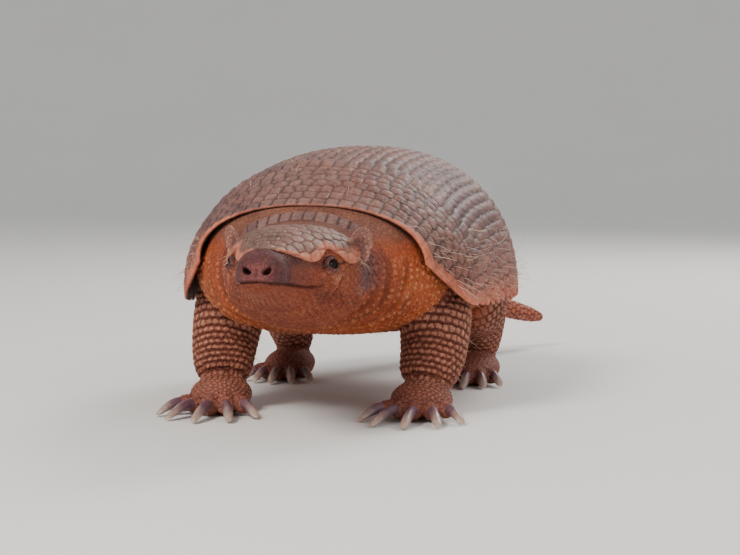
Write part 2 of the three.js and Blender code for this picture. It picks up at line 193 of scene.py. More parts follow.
FORE = {
    "limb": [[58, -140, 108], [71, -133, 78], [74, -146, 46], [71, -161, 20]],
    "width": through([[0, 26, 30], [0.4, 25, 28], [0.75, 22, 21], [1, 19, 16]]),
    "paw": ([70, -170, 12], [21, 25, 13.5]),
    "toes": [(-40, 20), (-19, 32), (0, 35), (19, 29), (39, 19)],
    "toe_radius": 5.6,
}
HIND = {
    "limb": [[60, 22, 106], [75, 14, 78], [77, 40, 50], [74, 60, 18]],
    "width": through([[0, 28, 38], [0.4, 25, 33], [0.75, 18, 20], [1, 14, 14]]),
    "paw": ([74, 36, 10], [18.5, 38, 13]),
    "toes": [(-36, 13), (-17, 18), (0, 20), (17, 17), (34, 13)],
    "toe_radius": 5.4,
}
LEGS = {"foreleg": FORE, "hindleg": HIND}


def node_middle(node):
    low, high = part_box(node)
    return np.array((low + high) / 2) / MM - SHIFT


EYE_CENTRE = node_middle("eye_left")
EYE_RADIUS = (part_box("eye_left")[1].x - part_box("eye_left")[0].x) / 2 / MM


# ---- Meshes from arrays -------------------------------------------------------------------

def add_object(name, data):
    made = bpy.data.objects.new(name, data)
    bpy.context.scene.collection.objects.link(made)
    return made


def read(items, what, width=1, kind=np.float32):
    """One value of each item of a mesh, as an array of rows of a width."""
    values = np.empty(len(items) * width, kind)
    items.foreach_get(what, values)
    return values.reshape(-1, width) if width > 1 else values


def new_piece(name, points, faces, smooth=True):
    """A mesh object from points in millimetres and arrays of corner numbers, facing out."""
    fans = np.concatenate([f[:, [0, k, k + 1]] for f in faces for k in range(1, f.shape[1] - 1)])
    a, b, c = (points[fans[:, k]] for k in range(3))
    if (a * np.cross(b, c)).sum() < 0:
        faces = [f[:, ::-1] for f in faces]
    mesh = bpy.data.meshes.new(name)
    mesh.vertices.add(len(points))
    mesh.vertices.foreach_set("co", ((points + SHIFT) * MM).astype(np.float32).ravel())
    corners = np.concatenate([f.ravel() for f in faces]).astype(np.int32)
    sizes = np.concatenate([np.full(len(f), f.shape[1]) for f in faces])
    mesh.loops.add(len(corners))
    mesh.loops.foreach_set("vertex_index", corners)
    mesh.polygons.add(len(sizes))
    mesh.polygons.foreach_set("loop_start", (np.cumsum(sizes) - sizes).astype(np.int32))
    mesh.update(calc_edges=True)
    if smooth:
        mesh.shade_smooth()
    return add_object(name, mesh)


def paint(piece, **layers):
    """Stores named layers on the points: numbers, or colours with three parts."""
    for name, values in layers.items():
        values = np.asarray(values, np.float32)
        kind = "FLOAT" if values.ndim == 1 else "FLOAT_COLOR"
        layer = piece.data.attributes.new(name, kind, "POINT")
        if values.ndim == 1:
            layer.data.foreach_set("value", values)
        else:
            with_alpha = np.concatenate([values, np.ones((len(values), 1), np.float32)], axis=1)
            layer.data.foreach_set("color", with_alpha.ravel())


def tube_faces(rings, sides):
    """Corner numbers of a closed tube whose points run ring by ring, with two end points last."""
    start = np.arange(rings - 1)[:, None] * sides
    j = np.arange(sides)
    k = (j + 1) % sides
    wall = np.stack([start + j, start + k, start + sides + k, start + sides + j], -1).reshape(-1, 4)
    tips = rings * sides
    first = np.stack([np.full(sides, tips), k, j], -1)
    last = np.stack([np.full(sides, tips + 1), (rings - 1) * sides + j, (rings - 1) * sides + k], -1)
    return [wall, np.concatenate([first, last])]


def tube_points(grid):
    """The points of a grid of rings with the middle of its first and last ring after them."""
    return np.concatenate([grid.reshape(-1, 3), grid[0].mean(0)[None], grid[-1].mean(0)[None]])


def merged(forms):
    """One set of points and faces from several."""
    points, quads, tris, count = [], [], [], 0
    for form_points, (wall, caps) in forms:
        points.append(form_points)
        quads.append(wall + count)
        tris.append(caps + count)
        count += len(form_points)
    return np.concatenate(points), [np.concatenate(quads), np.concatenate(tris)]


def facing_out(form):
    points, (wall, caps) = form
    a, b, c = (points[wall[:, k]] for k in range(3))
    if (a * np.cross(b - a, c - a)).sum() < 0:
        return points, (wall[:, ::-1], caps[:, ::-1])
    return points, (wall, caps)


def mirror_form(form):
    points, (wall, caps) = form
    return points * [-1, 1, 1], (wall[:, ::-1], caps[:, ::-1])


def slopes(grid, around=False):
    """Outward unit normals of a grid of points (rows, columns, 3) by differences."""
    by_row = np.gradient(grid, axis=0)
    if around:
        by_column = np.roll(grid, -1, 1) - np.roll(grid, 1, 1)
    else:
        by_column = np.gradient(grid, axis=1)
    return unit(np.cross(by_column, by_row))


# ---- Scutes: cells round scattered seeds --------------------------------------------------

def cells(points, seeds):
    """For each point: its nearest seed, how far it and the next cell are, and the way to that cell."""
    tree = tree_of(seeds)
    found = [tree.find_n(p, 2) for p in points]
    near = np.array([(a[1], b[1]) for a, b in found])
    far = np.array([(a[2], b[2]) for a, b in found])
    step = seeds[near[:, 1]] - seeds[near[:, 0]]
    apart = np.linalg.norm(step, axis=1)
    border = (far[:, 1] ** 2 - far[:, 0] ** 2) / (2 * apart)
    return near[:, 0], far[:, 0], border, step / apart[:, None]


# ---- Head and body as surfaces ------------------------------------------------------------

def head_place(x, back, up):
    return np.stack(np.broadcast_arrays(
        x,
        NOSE_Y + back * math.cos(HEAD_PITCH) - up * math.sin(HEAD_PITCH),
        NOSE_Z + back * math.sin(HEAD_PITCH) + up * math.cos(HEAD_PITCH),
    ), -1)


HEAD_BACK = head_place(0, 1, 0) - head_place(0, 0, 0)  # the way from the nose to the nape


def head_frame(points):
    """x, distance back from the nose, and height above the head's axis."""
    y, z = points[:, 1] - NOSE_Y, points[:, 2] - NOSE_Z
    back = y * math.cos(HEAD_PITCH) + z * math.sin(HEAD_PITCH)
    up = z * math.cos(HEAD_PITCH) - y * math.sin(HEAD_PITCH)
    return points[:, 0], back, up


def on_head(back, angle, lift=0):
    size = head_size(back)
    wide, top, bottom = size[..., 0], size[..., 1], size[..., 2]
    up = np.where(np.cos(angle) > 0, top, bottom)
    return head_place(
        (wide + lift) * power(np.sin(angle), 2 / HEAD_POWER),
        back,
        (up + lift) * power(np.cos(angle), 2 / HEAD_POWER),
    )


def on_body(y, angle, inside=0):
    size = body_size(y)
    wide, top, bottom = size[..., 0], size[..., 1], size[..., 2]
    up = np.cos(angle)
    reach = np.where(up > 0, top - inside - FLANK_Z, FLANK_Z - bottom)
    squareness = np.where(up > 0, 0.88, 0.8)
    return np.stack(np.broadcast_arrays(
        wide * power(np.sin(angle), squareness),
        y,
        FLANK_Z + reach * power(up, squareness),
    ), -1)


def shell_face(row, reach):
    back, margin = shell_back(row), shell_margin(row)
    angle = np.abs(reach) * math.pi / 2
    drop = 1 - np.maximum(np.cos(angle), 0) ** SHELL_POWER
    out = np.sin(angle) ** SHELL_POWER
    return np.stack([
        np.sign(reach) * margin[..., 0] * out,
        back[..., 0] + (margin[..., 1] - back[..., 0]) * drop,
        back[..., 1] + (margin[..., 2] - back[..., 1]) * drop,
    ], -1)


def on_path(path, width, t, angle):
    """Points on a limb round a path of t, and the path's own direction."""
    step = 0.01
    along = unit(path(t + step) - path(t - step))
    x_axis = np.array([1.0, 0, 0])
    side = unit(x_axis - along * (along @ x_axis)[..., None])
    depth = np.cross(along, side)
    size = width(t)
    wide, deep = size[..., :1], size[..., -1:]
    return path(t) + side * np.sin(angle)[..., None] * wide + depth * np.cos(angle)[..., None] * deep


def limb_path(points):
    return through([[i / (len(points) - 1), *p] for i, p in enumerate(points)])


# ---- The skin's rough form: head, body, legs and ears in one ------------------------------

def ring_grid(rings, sides):
    t = np.linspace(0, 1, rings)
    angle = np.linspace(0, 2 * math.pi, sides, endpoint=False)
    return np.meshgrid(t, angle, indexing="ij")


def lofted(rings, sides, place):
    t, angle = ring_grid(rings, sides)
    return facing_out((tube_points(place(t, angle)), tube_faces(rings, sides)))


def ellipsoid(centre, radii, rings=24, sides=32):
    def place(t, angle):
        tilt = math.pi * np.clip(t, 0.02, 0.98)
        return centre + np.stack([
            radii[0] * np.sin(tilt) * np.cos(angle),
            radii[1] * np.sin(tilt) * np.sin(angle),
            radii[2] * np.cos(tilt) * np.ones_like(angle),
        ], -1)
    return lofted(rings, sides, place)


def head_form():
    return lofted(90, 96, lambda t, a: on_head(HEAD_LENGTH * t, a))


def body_form():
    hidden = through([[-238, 0], [-200, 0], [-185, 6], [-150, 34], [-60, 55], [40, 52], [80, 26], [108, 8]])

    def place(t, angle):
        y = -238 + 346 * t
        return on_body(y, angle, hidden(y)[..., 0])
    return lofted(150, 120, place)


def tucked(points):
    """Moves the points that stand out of the shell to just inside it."""
    row, reach = np.meshgrid(np.linspace(0, TOTAL_ROWS, 150), np.linspace(-0.99, 0.99, 150), indexing="ij")
    face = shell_face(row, reach)
    normal = slopes(face)
    normal *= np.sign(normal[75, 75, 2])
    face, normal = face.reshape(-1, 3), normal.reshape(-1, 3)
    tree = tree_of(face)
    near = np.array([tree.find(p)[1] for p in points])
    outside = ((points - face[near]) * normal[near]).sum(-1) + SHELL_THICK + 1.2
    under_margin = np.abs(reach.ravel()[near]) > 0.985
    return points - normal[near] * (np.maximum(outside, 0) * (1 - under_margin))[:, None]


def limb_form(leg):
    path = limb_path(leg["limb"])

    def place(t, angle):
        soft = np.sqrt(np.maximum(1 - (2 * t - 1) ** 20, 0.1))
        return mix(path(t), on_path(path, leg["width"], t, angle), soft)
    points, faces = lofted(60, 60, place)
    return tucked(points), faces


def toe_line(leg, toe):
    """Where a toe starts, and the way it points."""
    bearing = math.radians(toe[0])
    (x, y, _), (wide, long, _) = leg["paw"]
    root = np.array([
        x + wide * 0.78 * math.sin(bearing * 1.5),
        y - long * 0.72 * math.cos(bearing * 1.2),
        TOE_Z,
    ])
    return root, np.array([math.sin(bearing), -math.cos(bearing), 0])


def digit(ahead, middle, size, rings, sides, keel=0):
    """A tube along a toe or a claw; size(t) is its half width and half height."""
    side = np.array([-ahead[1], ahead[0], 0])
    up = np.array([0, 0, 1.0])

    def place(t, angle):
        half = size(t)
        wide, high = half[..., :1], half[..., 1:2]
        rise = np.cos(angle)
        narrow = 1 - keel * np.clip(rise, 0, 1)
        return middle(t) + side * (np.sin(angle) * narrow)[..., None] * wide + up * rise[..., None] * high
    return lofted(rings, sides, place)


def toe_form(leg, toe):
    root, ahead = toe_line(leg, toe)
    radius = leg["toe_radius"]
    size = through([
        [0, radius, radius + 0.6], [0.35, radius - 0.5, radius - 0.2], [0.65, radius, radius + 0.4],
        [0.9, radius - 0.8, radius - 0.6], [1, radius - 2.6, radius - 2.4],
    ])

    def middle(t):
        return root + ahead * (t * (TOE_LENGTH + 1.5))[..., None] - np.array([0, 0, 1.3]) * t[..., None]
    return digit(ahead, middle, size, 24, 28)


CLAW_RINGS, CLAW_SIDES = 40, 24


def claw_form(leg, toe):
    root, ahead = toe_line(leg, toe)
    start = root + ahead * (TOE_LENGTH - CLAW_ROOT)
    size = through([[0, 3.5, 3.6], [0.5, 3.5, 3.4], [0.82, 3.1, 2.3], [0.94, 2.3, 1.4], [1, 1, 0.5]])

    def middle(t):
        rise = -0.1 + 1.2 * np.sin(math.pi * t) - CLAW_DROP * t ** 1.6
        place = start + ahead * (t * (toe[1] + CLAW_ROOT))[..., None]
        return place + np.stack([0 * rise, 0 * rise, rise], -1)
    return digit(ahead, middle, size, CLAW_RINGS, CLAW_SIDES, keel=0.35)


EAR = {"along": 92, "side": 38.5, "up": 9, "height": 30, "half_width": 10.5, "thick": 2.6, "root": 5}
EAR_BASE = head_place(EAR["side"], EAR["along"], EAR["up"])


def ear_axes():
    up = unit([0.32, 0.14, 0.94])
    opening = np.array([0.8, -0.6, 0])
    opening = unit(opening - up * (opening @ up))
    return up, opening, np.cross(up, opening)


def ear_shape(t, u):
    """The ear's half width at t from root to tip, and how far its cup stands open at u across it."""
    rounding = np.sqrt(np.clip(1 - (np.maximum(t - 0.55, 0) / 0.465) ** 2, 0.01, 1))
    wide = EAR["half_width"] * rounding * (0.74 + 0.26 * ease(0, 0.55, t))
    return wide, 6 * u * u * (1 - 0.5 * t) - 4 * np.sin(2.6 * t)


def on_ear(t, u, out):
    """A point of the ear: t from root to tip, u across it, and out from the cup's middle sheet."""
    up, opening, side = ear_axes()
    wide, cup = ear_shape(t, u)
    return (EAR_BASE + up * (EAR["height"] * t - EAR["root"])[..., None]
            + side * (u * wide)[..., None] + opening * (cup + out)[..., None])


def ear_form():
    def place(t, angle):
        u = np.sin(angle)
        return on_ear(t, u, np.cos(angle) * EAR["thick"] / 2 * (1 + 0.5 * u ** 4))
    return lofted(40, 64, place)


def leg_forms(leg):
    centre, radii = leg["paw"]
    toes = [toe_form(leg, toe) for toe in leg["toes"]]
    return [limb_form(leg), ellipsoid(np.array(centre), radii)] + toes


def skin_form():
    left = [form for leg in LEGS.values() for form in leg_forms(leg)] + [ear_form()]
    forms = [head_form(), body_form(), *left, *map(mirror_form, left)]
    rough = new_piece("rough_skin", *merged(forms), smooth=False)
    remesh = rough.modifiers.new("one_skin", "REMESH")
    remesh.mode = "VOXEL"
    remesh.voxel_size = 1.0 * MM
    graph = bpy.context.evaluated_depsgraph_get()
    mesh = bpy.data.meshes.new_from_object(rough.evaluated_get(graph))
    bpy.data.objects.remove(rough)
    mesh.name = "skin"
    return add_object("skin", mesh)


def points_of(piece):
    return read(piece.data.vertices, "co", 3).astype(float) / MM - SHIFT


def normals_of(piece):
    return read(piece.data.vertex_normals, "vector", 3).astype(float)


def move_points(piece, points):
    piece.data.vertices.foreach_set("co", ((points + SHIFT) * MM).astype(np.float32).ravel())
    piece.data.update()


def relax(piece, points, share, rounds):
    """Moves each point part of the way to the middle of its neighbours."""
    a, b = read(piece.data.edges, "vertices", 2, np.int32).T
    here, there = np.concatenate([a, b]), np.concatenate([b, a])
    count = np.bincount(here, minlength=len(points))[:, None]
    for _ in range(rounds):
        near = np.stack([np.bincount(here, points[there, k], len(points)) for k in range(3)], -1) / count
        points = points + (near - points) * share
    return points


def finer(piece, chosen):
    """Splits the edges whose two ends are both chosen."""
    work = bmesh.new()
    work.from_mesh(piece.data)
    work.verts.ensure_lookup_table()
    edges = [e for e in work.edges if chosen[e.verts[0].index] and chosen[e.verts[1].index]]
    bmesh.ops.subdivide_edges(work, edges=edges, cuts=1, use_grid_fill=True)
    work.to_mesh(piece.data)
    work.free()


# ---- Seeds of the skin's scutes and warts -------------------------------------------------

def spaced(length, gap):
    return max(int(round(length / gap)), 1)


def ring_seeds(surface, start, gap_along, gap_round, length, jitter):
    """Seeds in staggered rings on surface(t, angle), from t of start to 1; the gaps are functions of t."""
    seeds, t, row = [], start, 0
    fine = np.linspace(0, 2 * math.pi, 121)
    while t < 1:
        far = distances(surface(np.full_like(fine, t), fine))
        count = spaced(far[-1], gap_round(t))
        places = (np.arange(count) + 0.5 * (row % 2) + 0.25) / count * far[-1]
        angles = np.interp(places % far[-1], far, fine)
        seeds.append(surface(np.full(count, t), angles) + rng.normal(0, jitter, (count, 3)))
        t += gap_along(t) / length
        row += 1
    return np.concatenate(seeds)


def jittered(seeds, jitter):
    """The seeds joined, each moved a little at random."""
    seeds = np.concatenate(seeds)
    return seeds + rng.normal(0, jitter, seeds.shape)


def both_sides(seeds):
    return np.concatenate([seeds, seeds * [-1, 1, 1]])


def limb_seeds(leg, from_t):
    path = limb_path(leg["limb"])

    def surface(t, angle):
        return on_path(path, leg["width"], t, angle)
    length = distances(path(np.linspace(0, 1, 40)))[-1]
    return ring_seeds(surface, from_t, lambda t: 5.6 - 1.2 * t, lambda t: 6.2 - 1.8 * t, length, 0.35)


PAW_SCUTE = 4.1  # from one scute of a foot to the next


def paw_seeds(leg):
    """Seeds in staggered rows over the foot and along its toes."""
    centre, (wide, long, high) = leg["paw"]
    seeds = []
    for row, tilt in enumerate(np.arange(-1.4, 1.4, PAW_SCUTE / long)):
        half, rise = wide * math.cos(tilt), high * math.cos(tilt)
        count = spaced(3.4 * half, PAW_SCUTE)
        turn = ((np.arange(count) + 0.5 + 0.5 * (row % 2)) / count * 2 - 1) * 1.7
        ring = np.stack([half * np.sin(turn), 0 * turn + long * math.sin(tilt), rise * np.cos(turn)], -1)
        seeds.append(centre + ring)
    for toe in leg["toes"]:
        root, ahead = toe_line(leg, toe)
        side = np.array([-ahead[1], ahead[0], 0])
        for step in np.arange(1.5, TOE_LENGTH + 1, 3.1):
            for turn in (-1.15, -0.1, 0.95):
                radius = leg["toe_radius"]
                seeds.append((root + ahead * step + side * radius * math.sin(turn)
                              + [0, 0, radius * math.cos(turn) - 1])[None])
    return jittered(seeds, 0.25)


def mouth_line(back):
    return through([[0, -5], [10, -5.4], [24, -6], [38, -6.8], [50, -6], [58, -3.5]])(back)[..., 0]


def cheek_seeds():
    """Small flat scales between the mouth, the eye and the ear."""
    seeds = []
    for row, back in enumerate(np.arange(50, 104, 4.6)):
        for angle in np.arange(1.28 + 0.05 * (row % 2), 2.2, 0.135):
            seeds.append(on_head(np.array(back), np.array(angle)))
    return np.array(seeds) + rng.normal(0, 0.5, (len(seeds), 3))


WART_ROW = 5  # from one row of warts to the next


def belly_seeds():
    """Rows of warts across the throat, chest and belly."""
    seeds = []
    for y in np.arange(-232, 104, WART_ROW):
        angle = np.linspace(1.32, math.pi, 60)
        line = on_body(np.full_like(angle, y), angle)
        end = distances(line)[-1]
        places = np.arange(rng.uniform(1, 5), end, WART_ROW)
        seeds.append(at_distances(line, np.clip(places + rng.normal(0, 0.9, len(places)), 0, end)))
    for back in np.arange(20, 112, 4.6):
        angle = np.arange(2.15 + rng.uniform(0, 0.1), math.pi, 0.19)
        seeds.append(on_head(np.full_like(angle, back), angle))
    return both_sides(np.concatenate(seeds))


def ear_seeds():
    seeds = []
    for row, t in enumerate(np.arange(0.1, 1, 0.085)):
        u = (np.arange(-3, 4) + 0.5 * (row % 2)) / 3.4
        for face in (-1, 1):
            seeds.append(on_ear(np.full_like(u, t), u, face * EAR["thick"] / 2))
    return jittered(seeds, 0.3)


# ---- The skin's colours -------------------------------------------------------------------

def rgb(red, green, blue):
    """A colour given in display values from 0 to 255, made linear."""
    return (np.array([red, green, blue]) / 255) ** 2.2


SNOUT_SIDE = rgb(132, 70, 58)
BELLY, BELLY_DARK, WART = rgb(182, 88, 42), rgb(122, 56, 32), rgb(208, 128, 80)
THROAT, SNOUT, NOSE, NOSE_PINK = rgb(146, 72, 48), rgb(84, 50, 52), rgb(96, 54, 56), rgb(138, 80, 78)
# The nostrils' colour is painted shade in their pits; the lips' colour is their own with painted shade in
# the mouth's groove.
NOSTRIL, LIPS, CHEEK = rgb(52, 22, 24), rgb(84, 40, 36), rgb(176, 96, 58)
# The dark lid colour is painted shade in the creases round the eye.
LID, LID_DARK, UNDER_EYE = rgb(104, 70, 70), rgb(48, 28, 32), rgb(190, 118, 94)
# The ear's hollow colour is painted shade in its cup; the dark ear colour is its grooves' own colour with
# painted shade.
EAR_SKIN, EAR_HOLLOW_SHADE, EAR_DARK = rgb(192, 142, 126), rgb(142, 94, 88), rgb(92, 66, 72)
PALE_SCALE, NAPE, RUMP = rgb(206, 132, 104), rgb(124, 88, 76), rgb(142, 76, 54)
# The darker colour under the ear is painted shade in its wrinkles.
UNDER_EAR, UNDER_EAR_DARK = rgb(118, 96, 104), rgb(62, 46, 62)
# The pale limb colour is a painted highlight on the scutes' domes.
LIMB, LIMB_HIGHLIGHT = rgb(168, 102, 80), rgb(206, 146, 122)
# The limbs' groove colour is the grooves' own darker colour deepened by painted shade, between scutes and
# in the folds at the tail's root.
LIMB_GROOVE, LIMB_DARK = rgb(92, 38, 26), rgb(116, 54, 38)
HAND, PALM = rgb(168, 106, 90), rgb(150, 92, 76)
# The groove colours of the head shield, shell and tail are the grooves' own darker colour deepened by
# painted shade.
SHIELD, SHIELD_GROOVE, SHIELD_EDGE = rgb(124, 90, 78), rgb(90, 60, 52), rgb(210, 122, 92)
SHELL, SHELL_PALE, SHELL_GROOVE = rgb(102, 75, 76), rgb(145, 106, 93), rgb(56, 38, 42)
# The shell's dust colour is red dust together with painted warm light from the ground on the lower shell.
SHELL_EDGE, SHELL_DUST_AND_GROUND_LIGHT = rgb(214, 118, 86), rgb(184, 106, 80)
TAIL, TAIL_PALE, TAIL_GROOVE = rgb(174, 82, 54), rgb(202, 120, 94), rgb(104, 42, 26)
CLAW_ROOT_TINT, CLAW_TIP_TINT = rgb(112, 84, 94), rgb(190, 166, 148)
BRISTLE = rgb(212, 188, 162)


# ---- The skin -----------------------------------------------------------------------------

def eye_axes():
    out = unit(head_place(0.88, -0.44, 0.2) - head_place(0, 0, 0))
    back = unit(HEAD_BACK - out * (HEAD_BACK @ out))
    up = np.cross(out, back)
    return out, back, up if up[2] > 0 else -up


def round_eye(points, side):
    """Raises lids round the eyeball, opens them over it and folds the skin about them.

    Gives the points, and shares for the lids, the painted shade of their dark creases, the pale fold under
    the eye and the three-sided scale below it."""
    out, back, up = (axis * [side, 1, 1] for axis in eye_axes())
    offset = points - EYE_CENTRE * [side, 1, 1]
    x, y, height = offset @ back, offset @ up, offset @ out
    near = (np.hypot(x, y) < 20) & (height > -9)
    x, y, height = x[near], y[near], height[near]
    from_middle = np.hypot(x, y)
    almond = np.sqrt((x / 4.3) ** 2 + ((y + 0.05 * x) / (3 - 0.02 * x * x).clip(1)) ** 2)
    lid_radius = EYE_RADIUS + 1.5
    lid = np.sqrt(np.maximum(lid_radius ** 2 - (from_middle * 0.8) ** 2, 0))
    mound = np.maximum(height, mix(height, lid, fade(4.5, 9, from_middle)))
    above = ease(-0.5, 1.5, y)
    folds = 0.5 * bump(almond, 1.3, 0.16) - (0.55 + 0.5 * above) * bump(almond, 1.75, 0.17)
    folds += 0.35 * bump(almond, 2.15, 0.18) - 0.4 * bump(almond, 2.6, 0.2)
    shift = mound + folds * fade(9, 13, from_middle) - height
    opened = fade(0.86, 1.06, almond)
    shift = shift * (1 - opened) + opened * (EYE_RADIUS - 5.5 - height)
    behind = bump(y - (0.12 * x - 1.0), 0, 0.75) * ease(3.6, 5.5, x) * fade(14, 19, x)
    before = bump(y - (0.15 * x - 0.2), 0, 0.6) * ease(3.6, 5, -x) * fade(8, 11, -x)
    pouch = bump(y + 4.2 + 0.03 * x * x, 0, 1.5) * fade(7, 12, np.abs(x))
    shift += 0.55 * pouch - 0.95 * behind - 0.6 * before
    top_edge, low_edge = -(y + 5.4 + 0.1 * x), 0.8 * (11.5 - x) + 0.6 * (y + 5.4)
    scale = ease(-0.2, 1.6, top_edge) * ease(-0.2, 1.6, low_edge) * ease(-4.5, 3, x + 0.5 * (y + 5.4))
    under_scale = bump(low_edge, -0.7, 0.8) * ease(0, 2, top_edge) * ease(-2, 1, x) * fade(10, 13, x)
    shift += 0.9 * scale - 0.8 * under_scale
    moved = points.copy()
    moved[near] += out * shift[:, None]
    shares = np.zeros((4, len(points)))
    shares[0, near] = fade(1.35, 2.6, almond)
    # The second share is painted shade: in the lids' creases, at their rims, in the lines before and behind
    # the eye and under the pale scale.
    shares[1, near] = np.clip(bump(almond, 1.75, 0.3) * (0.15 + 0.85 * above) * (from_middle < 11)
                              + bump(almond, 1.02, 0.12) + behind + 0.8 * before
                              + 0.6 * under_scale, 0, 1)
    shares[2, near] = pouch
    shares[3, near] = scale
    return moved, shares


NOSTRIL_DEPTH = 4.6


def nostril(x, back, up):
    """A comma-shaped pit on each side of the nose's front, and its rim, as shares."""
    px, py = np.abs(x) - 6.2, up - 1.4
    turn = math.radians(40)
    a = px * math.cos(turn) + py * math.sin(turn)
    b = py * math.cos(turn) - px * math.sin(turn)
    pit = np.sqrt((a / 2.9) ** 2 + ((b - 0.08 * a * a) / 1.8) ** 2)
    front = fade(7, 10, back)
    return fade(0.55, 1.1, pit) * front, bump(pit, 1.5, 0.38) * front


def shape_head(points, normals):
    """Nose, nostrils, lips, jaw and folds of the throat; gives the shares of nostrils and lips too."""
    x, back, up = head_frame(points)
    on = (back < 112).astype(float) * (points[:, 2] > 55)
    pad = fade(7, 13, back) * on
    push = 1.3 * pad * fade(13, 17, np.hypot(x, up))
    push += 0.9 * bump(back, 9.5, 2.6) * on * ease(-5, -2, up)
    pit, rim = nostril(x, back, up)
    push += 0.8 * rim * on
    push -= 0.8 * bump(x, 0, 0.9) * pad * (up < 3) * (up > -5)
    push -= 0.45 * bump(np.hypot(x, up - 9), 0, 4) * pad
    gap = up - mouth_line(back)
    reach = fade(44, 56, back) * on
    push -= 1.7 * bump(gap, 0, 0.8) * reach
    lower_lip = fade(-2.5, -1, gap) * reach * fade(30, 52, back)
    push += 0.7 * bump(gap, 2.1, 1.5) * reach - 0.6 * lower_lip
    push += 0.8 * bump(back, 58, 5) * bump(gap, -1, 5) * on
    chin = fade(-2, -0.5, gap) * on * ease(4, 14, back)
    push += 0.34 * np.sin(x * 1.7 + 2.4 * waves(points, 17)) * chin * fade(70, 95, back)
    under = fade(-16, -9, up) * on
    push += 0.45 * np.sin(back * 1.0 + 2.2 * waves(points, 18)) * under * ease(30, 55, back)
    snout = on * bump(back, 27, 14) * (np.abs(x) > 5) * (gap > 0)
    push += 0.32 * np.sin(back * 1.5 + 0.5 * up + 2.4 * waves(points, 9, 2)) * snout
    push += 0.22 * waves(points, 3.2, 4) * on * (back < 60)
    moved = points + normals * push[:, None] + HEAD_BACK * (NOSTRIL_DEPTH * pit * on)[:, None]
    # The nostril and lip shares mark where the tint paints shade in the nostril pits and the mouth's
    # groove.
    return moved, pit * on, bump(gap, 0, 1.3) * reach


# How far a scute reaches from its seed and how high it stands: on the forelegs, hind legs, forefeet,
# hind feet, cheeks and ears.
SCUTES = [(6, 1.1), (6, 1.0), (4.6, 0.42), (4.6, 0.42), (4.4, 0.35), (3.4, 0.1)]
NECK_FOLD = 8.5  # from one fold of the neck to the next
SOLE_Z = 0.05  # the soles' height over the floor


def skin_masks(points):
    """Shares from 0 to 1 that say which part of the animal a point is on."""
    x, back, up = head_frame(points)
    y, z = points[:, 1], points[:, 2]
    sideways = np.abs(x)
    on_left = np.stack([sideways, y, z], -1)
    size = head_size(back)
    over_head = np.hypot(sideways / size[:, 0], up / np.where(up > 0, size[:, 1], size[:, 2]))
    head = fade(102, 114, back) * (z > 55)
    gap = up - mouth_line(back)
    masks = {"head": head, "gap": gap}
    masks["snout"] = head * fade(36, 54, back + 0.5 * (6 - up).clip(0)) * ease(-1.2, 0.6, gap)
    masks["snout_top"] = masks["snout"] * np.clip(fade(9, 32, back) + ease(3, 9, up), 0, 1)
    masks["nose"] = head * fade(6, 11, back) * ease(-0.6, 0.6, gap)
    masks["nose_pink"] = masks["nose"] * fade(5, 11, np.hypot(x * 0.8, up + 1))
    masks["cheek"] = head * ease(46, 60, back) * ease(-13, -6, up) * fade(12, 20, up)
    ear_up, opening, side = ear_axes()
    offset = on_left - EAR_BASE
    along, out, across = offset @ ear_up, offset @ opening, offset @ side
    t = (along + EAR["root"]) / EAR["height"]
    u = across / ear_shape(t, 0)[0]
    from_sheet = out - ear_shape(t, np.clip(u, -1, 1))[1]
    in_outline = fade(1.08, 1.3, np.abs(u)) * fade(2.6, 3.8, np.abs(from_sheet))
    masks["ear"] = ease(0.14, 0.26, t) * in_outline * ease(1.0, 1.1, over_head)
    from_hollow = np.hypot(u, (t - 0.42) / 0.5)
    # Painted shade in the ear's cup, darkest towards its middle.
    masks["ear_hollow"] = masks["ear"] * ease(0, 0.9, from_sheet) * fade(0.5, 0.9, from_hollow)
    masks["under_ear"] = bump(back, 100, 12) * ease(28, 36, sideways) * ease(-13, -3, up)
    masks["under_ear"] *= fade(14, 24, up) * (1 - masks["ear"])
    masks["rump"] = ease(82, 96, y) * ease(60, 74, z)
    masks["nape"] = ease(112, 128, z) * ease(-246, -236, y) * (1 - masks["ear"])
    for name, leg in LEGS.items():
        middle = limb_path(leg["limb"])(np.linspace(0.1, 1, 14))
        bone = np.stack([np.linalg.norm(on_left - m, axis=-1) for m in middle]).min(0)
        masks[name] = fade(27, 36, bone) * (sideways > 46)
        (_, paw_y, _), (_, long, _) = leg["paw"]
        near_paw = (np.abs(y - paw_y + 12) < long + 30) * (sideways > 38)
        masks[name + "_paw"] = fade(19, 30, z) * near_paw
    return masks


def smooth_joins(skin):
    """Evens the voxels out, rounds the hollows where the legs, neck and feet join, and refines the head."""
    points = points_of(skin)
    masks = skin_masks(points)
    legs = bump(points[:, 2], 84, 22) * (masks["foreleg"] + masks["hindleg"])
    wrists = bump(points[:, 2], 24, 7) * (np.abs(points[:, 0]) > 40)
    neck = bump(points[:, 1], -222, 11) * (1 - masks["ear"])
    points = relax(skin, points, 0.5, 3)
    joins = np.clip(np.clip(legs, 0, 1) + neck + wrists, 0, 1)
    points = relax(skin, points, 0.5 * joins[:, None], 60)
    move_points(skin, points)
    finer(skin, (points[:, 1] < -222) & (points[:, 2] > 60))
    points = relax(skin, points_of(skin), 0.4, 2)
    move_points(skin, points)
    return points


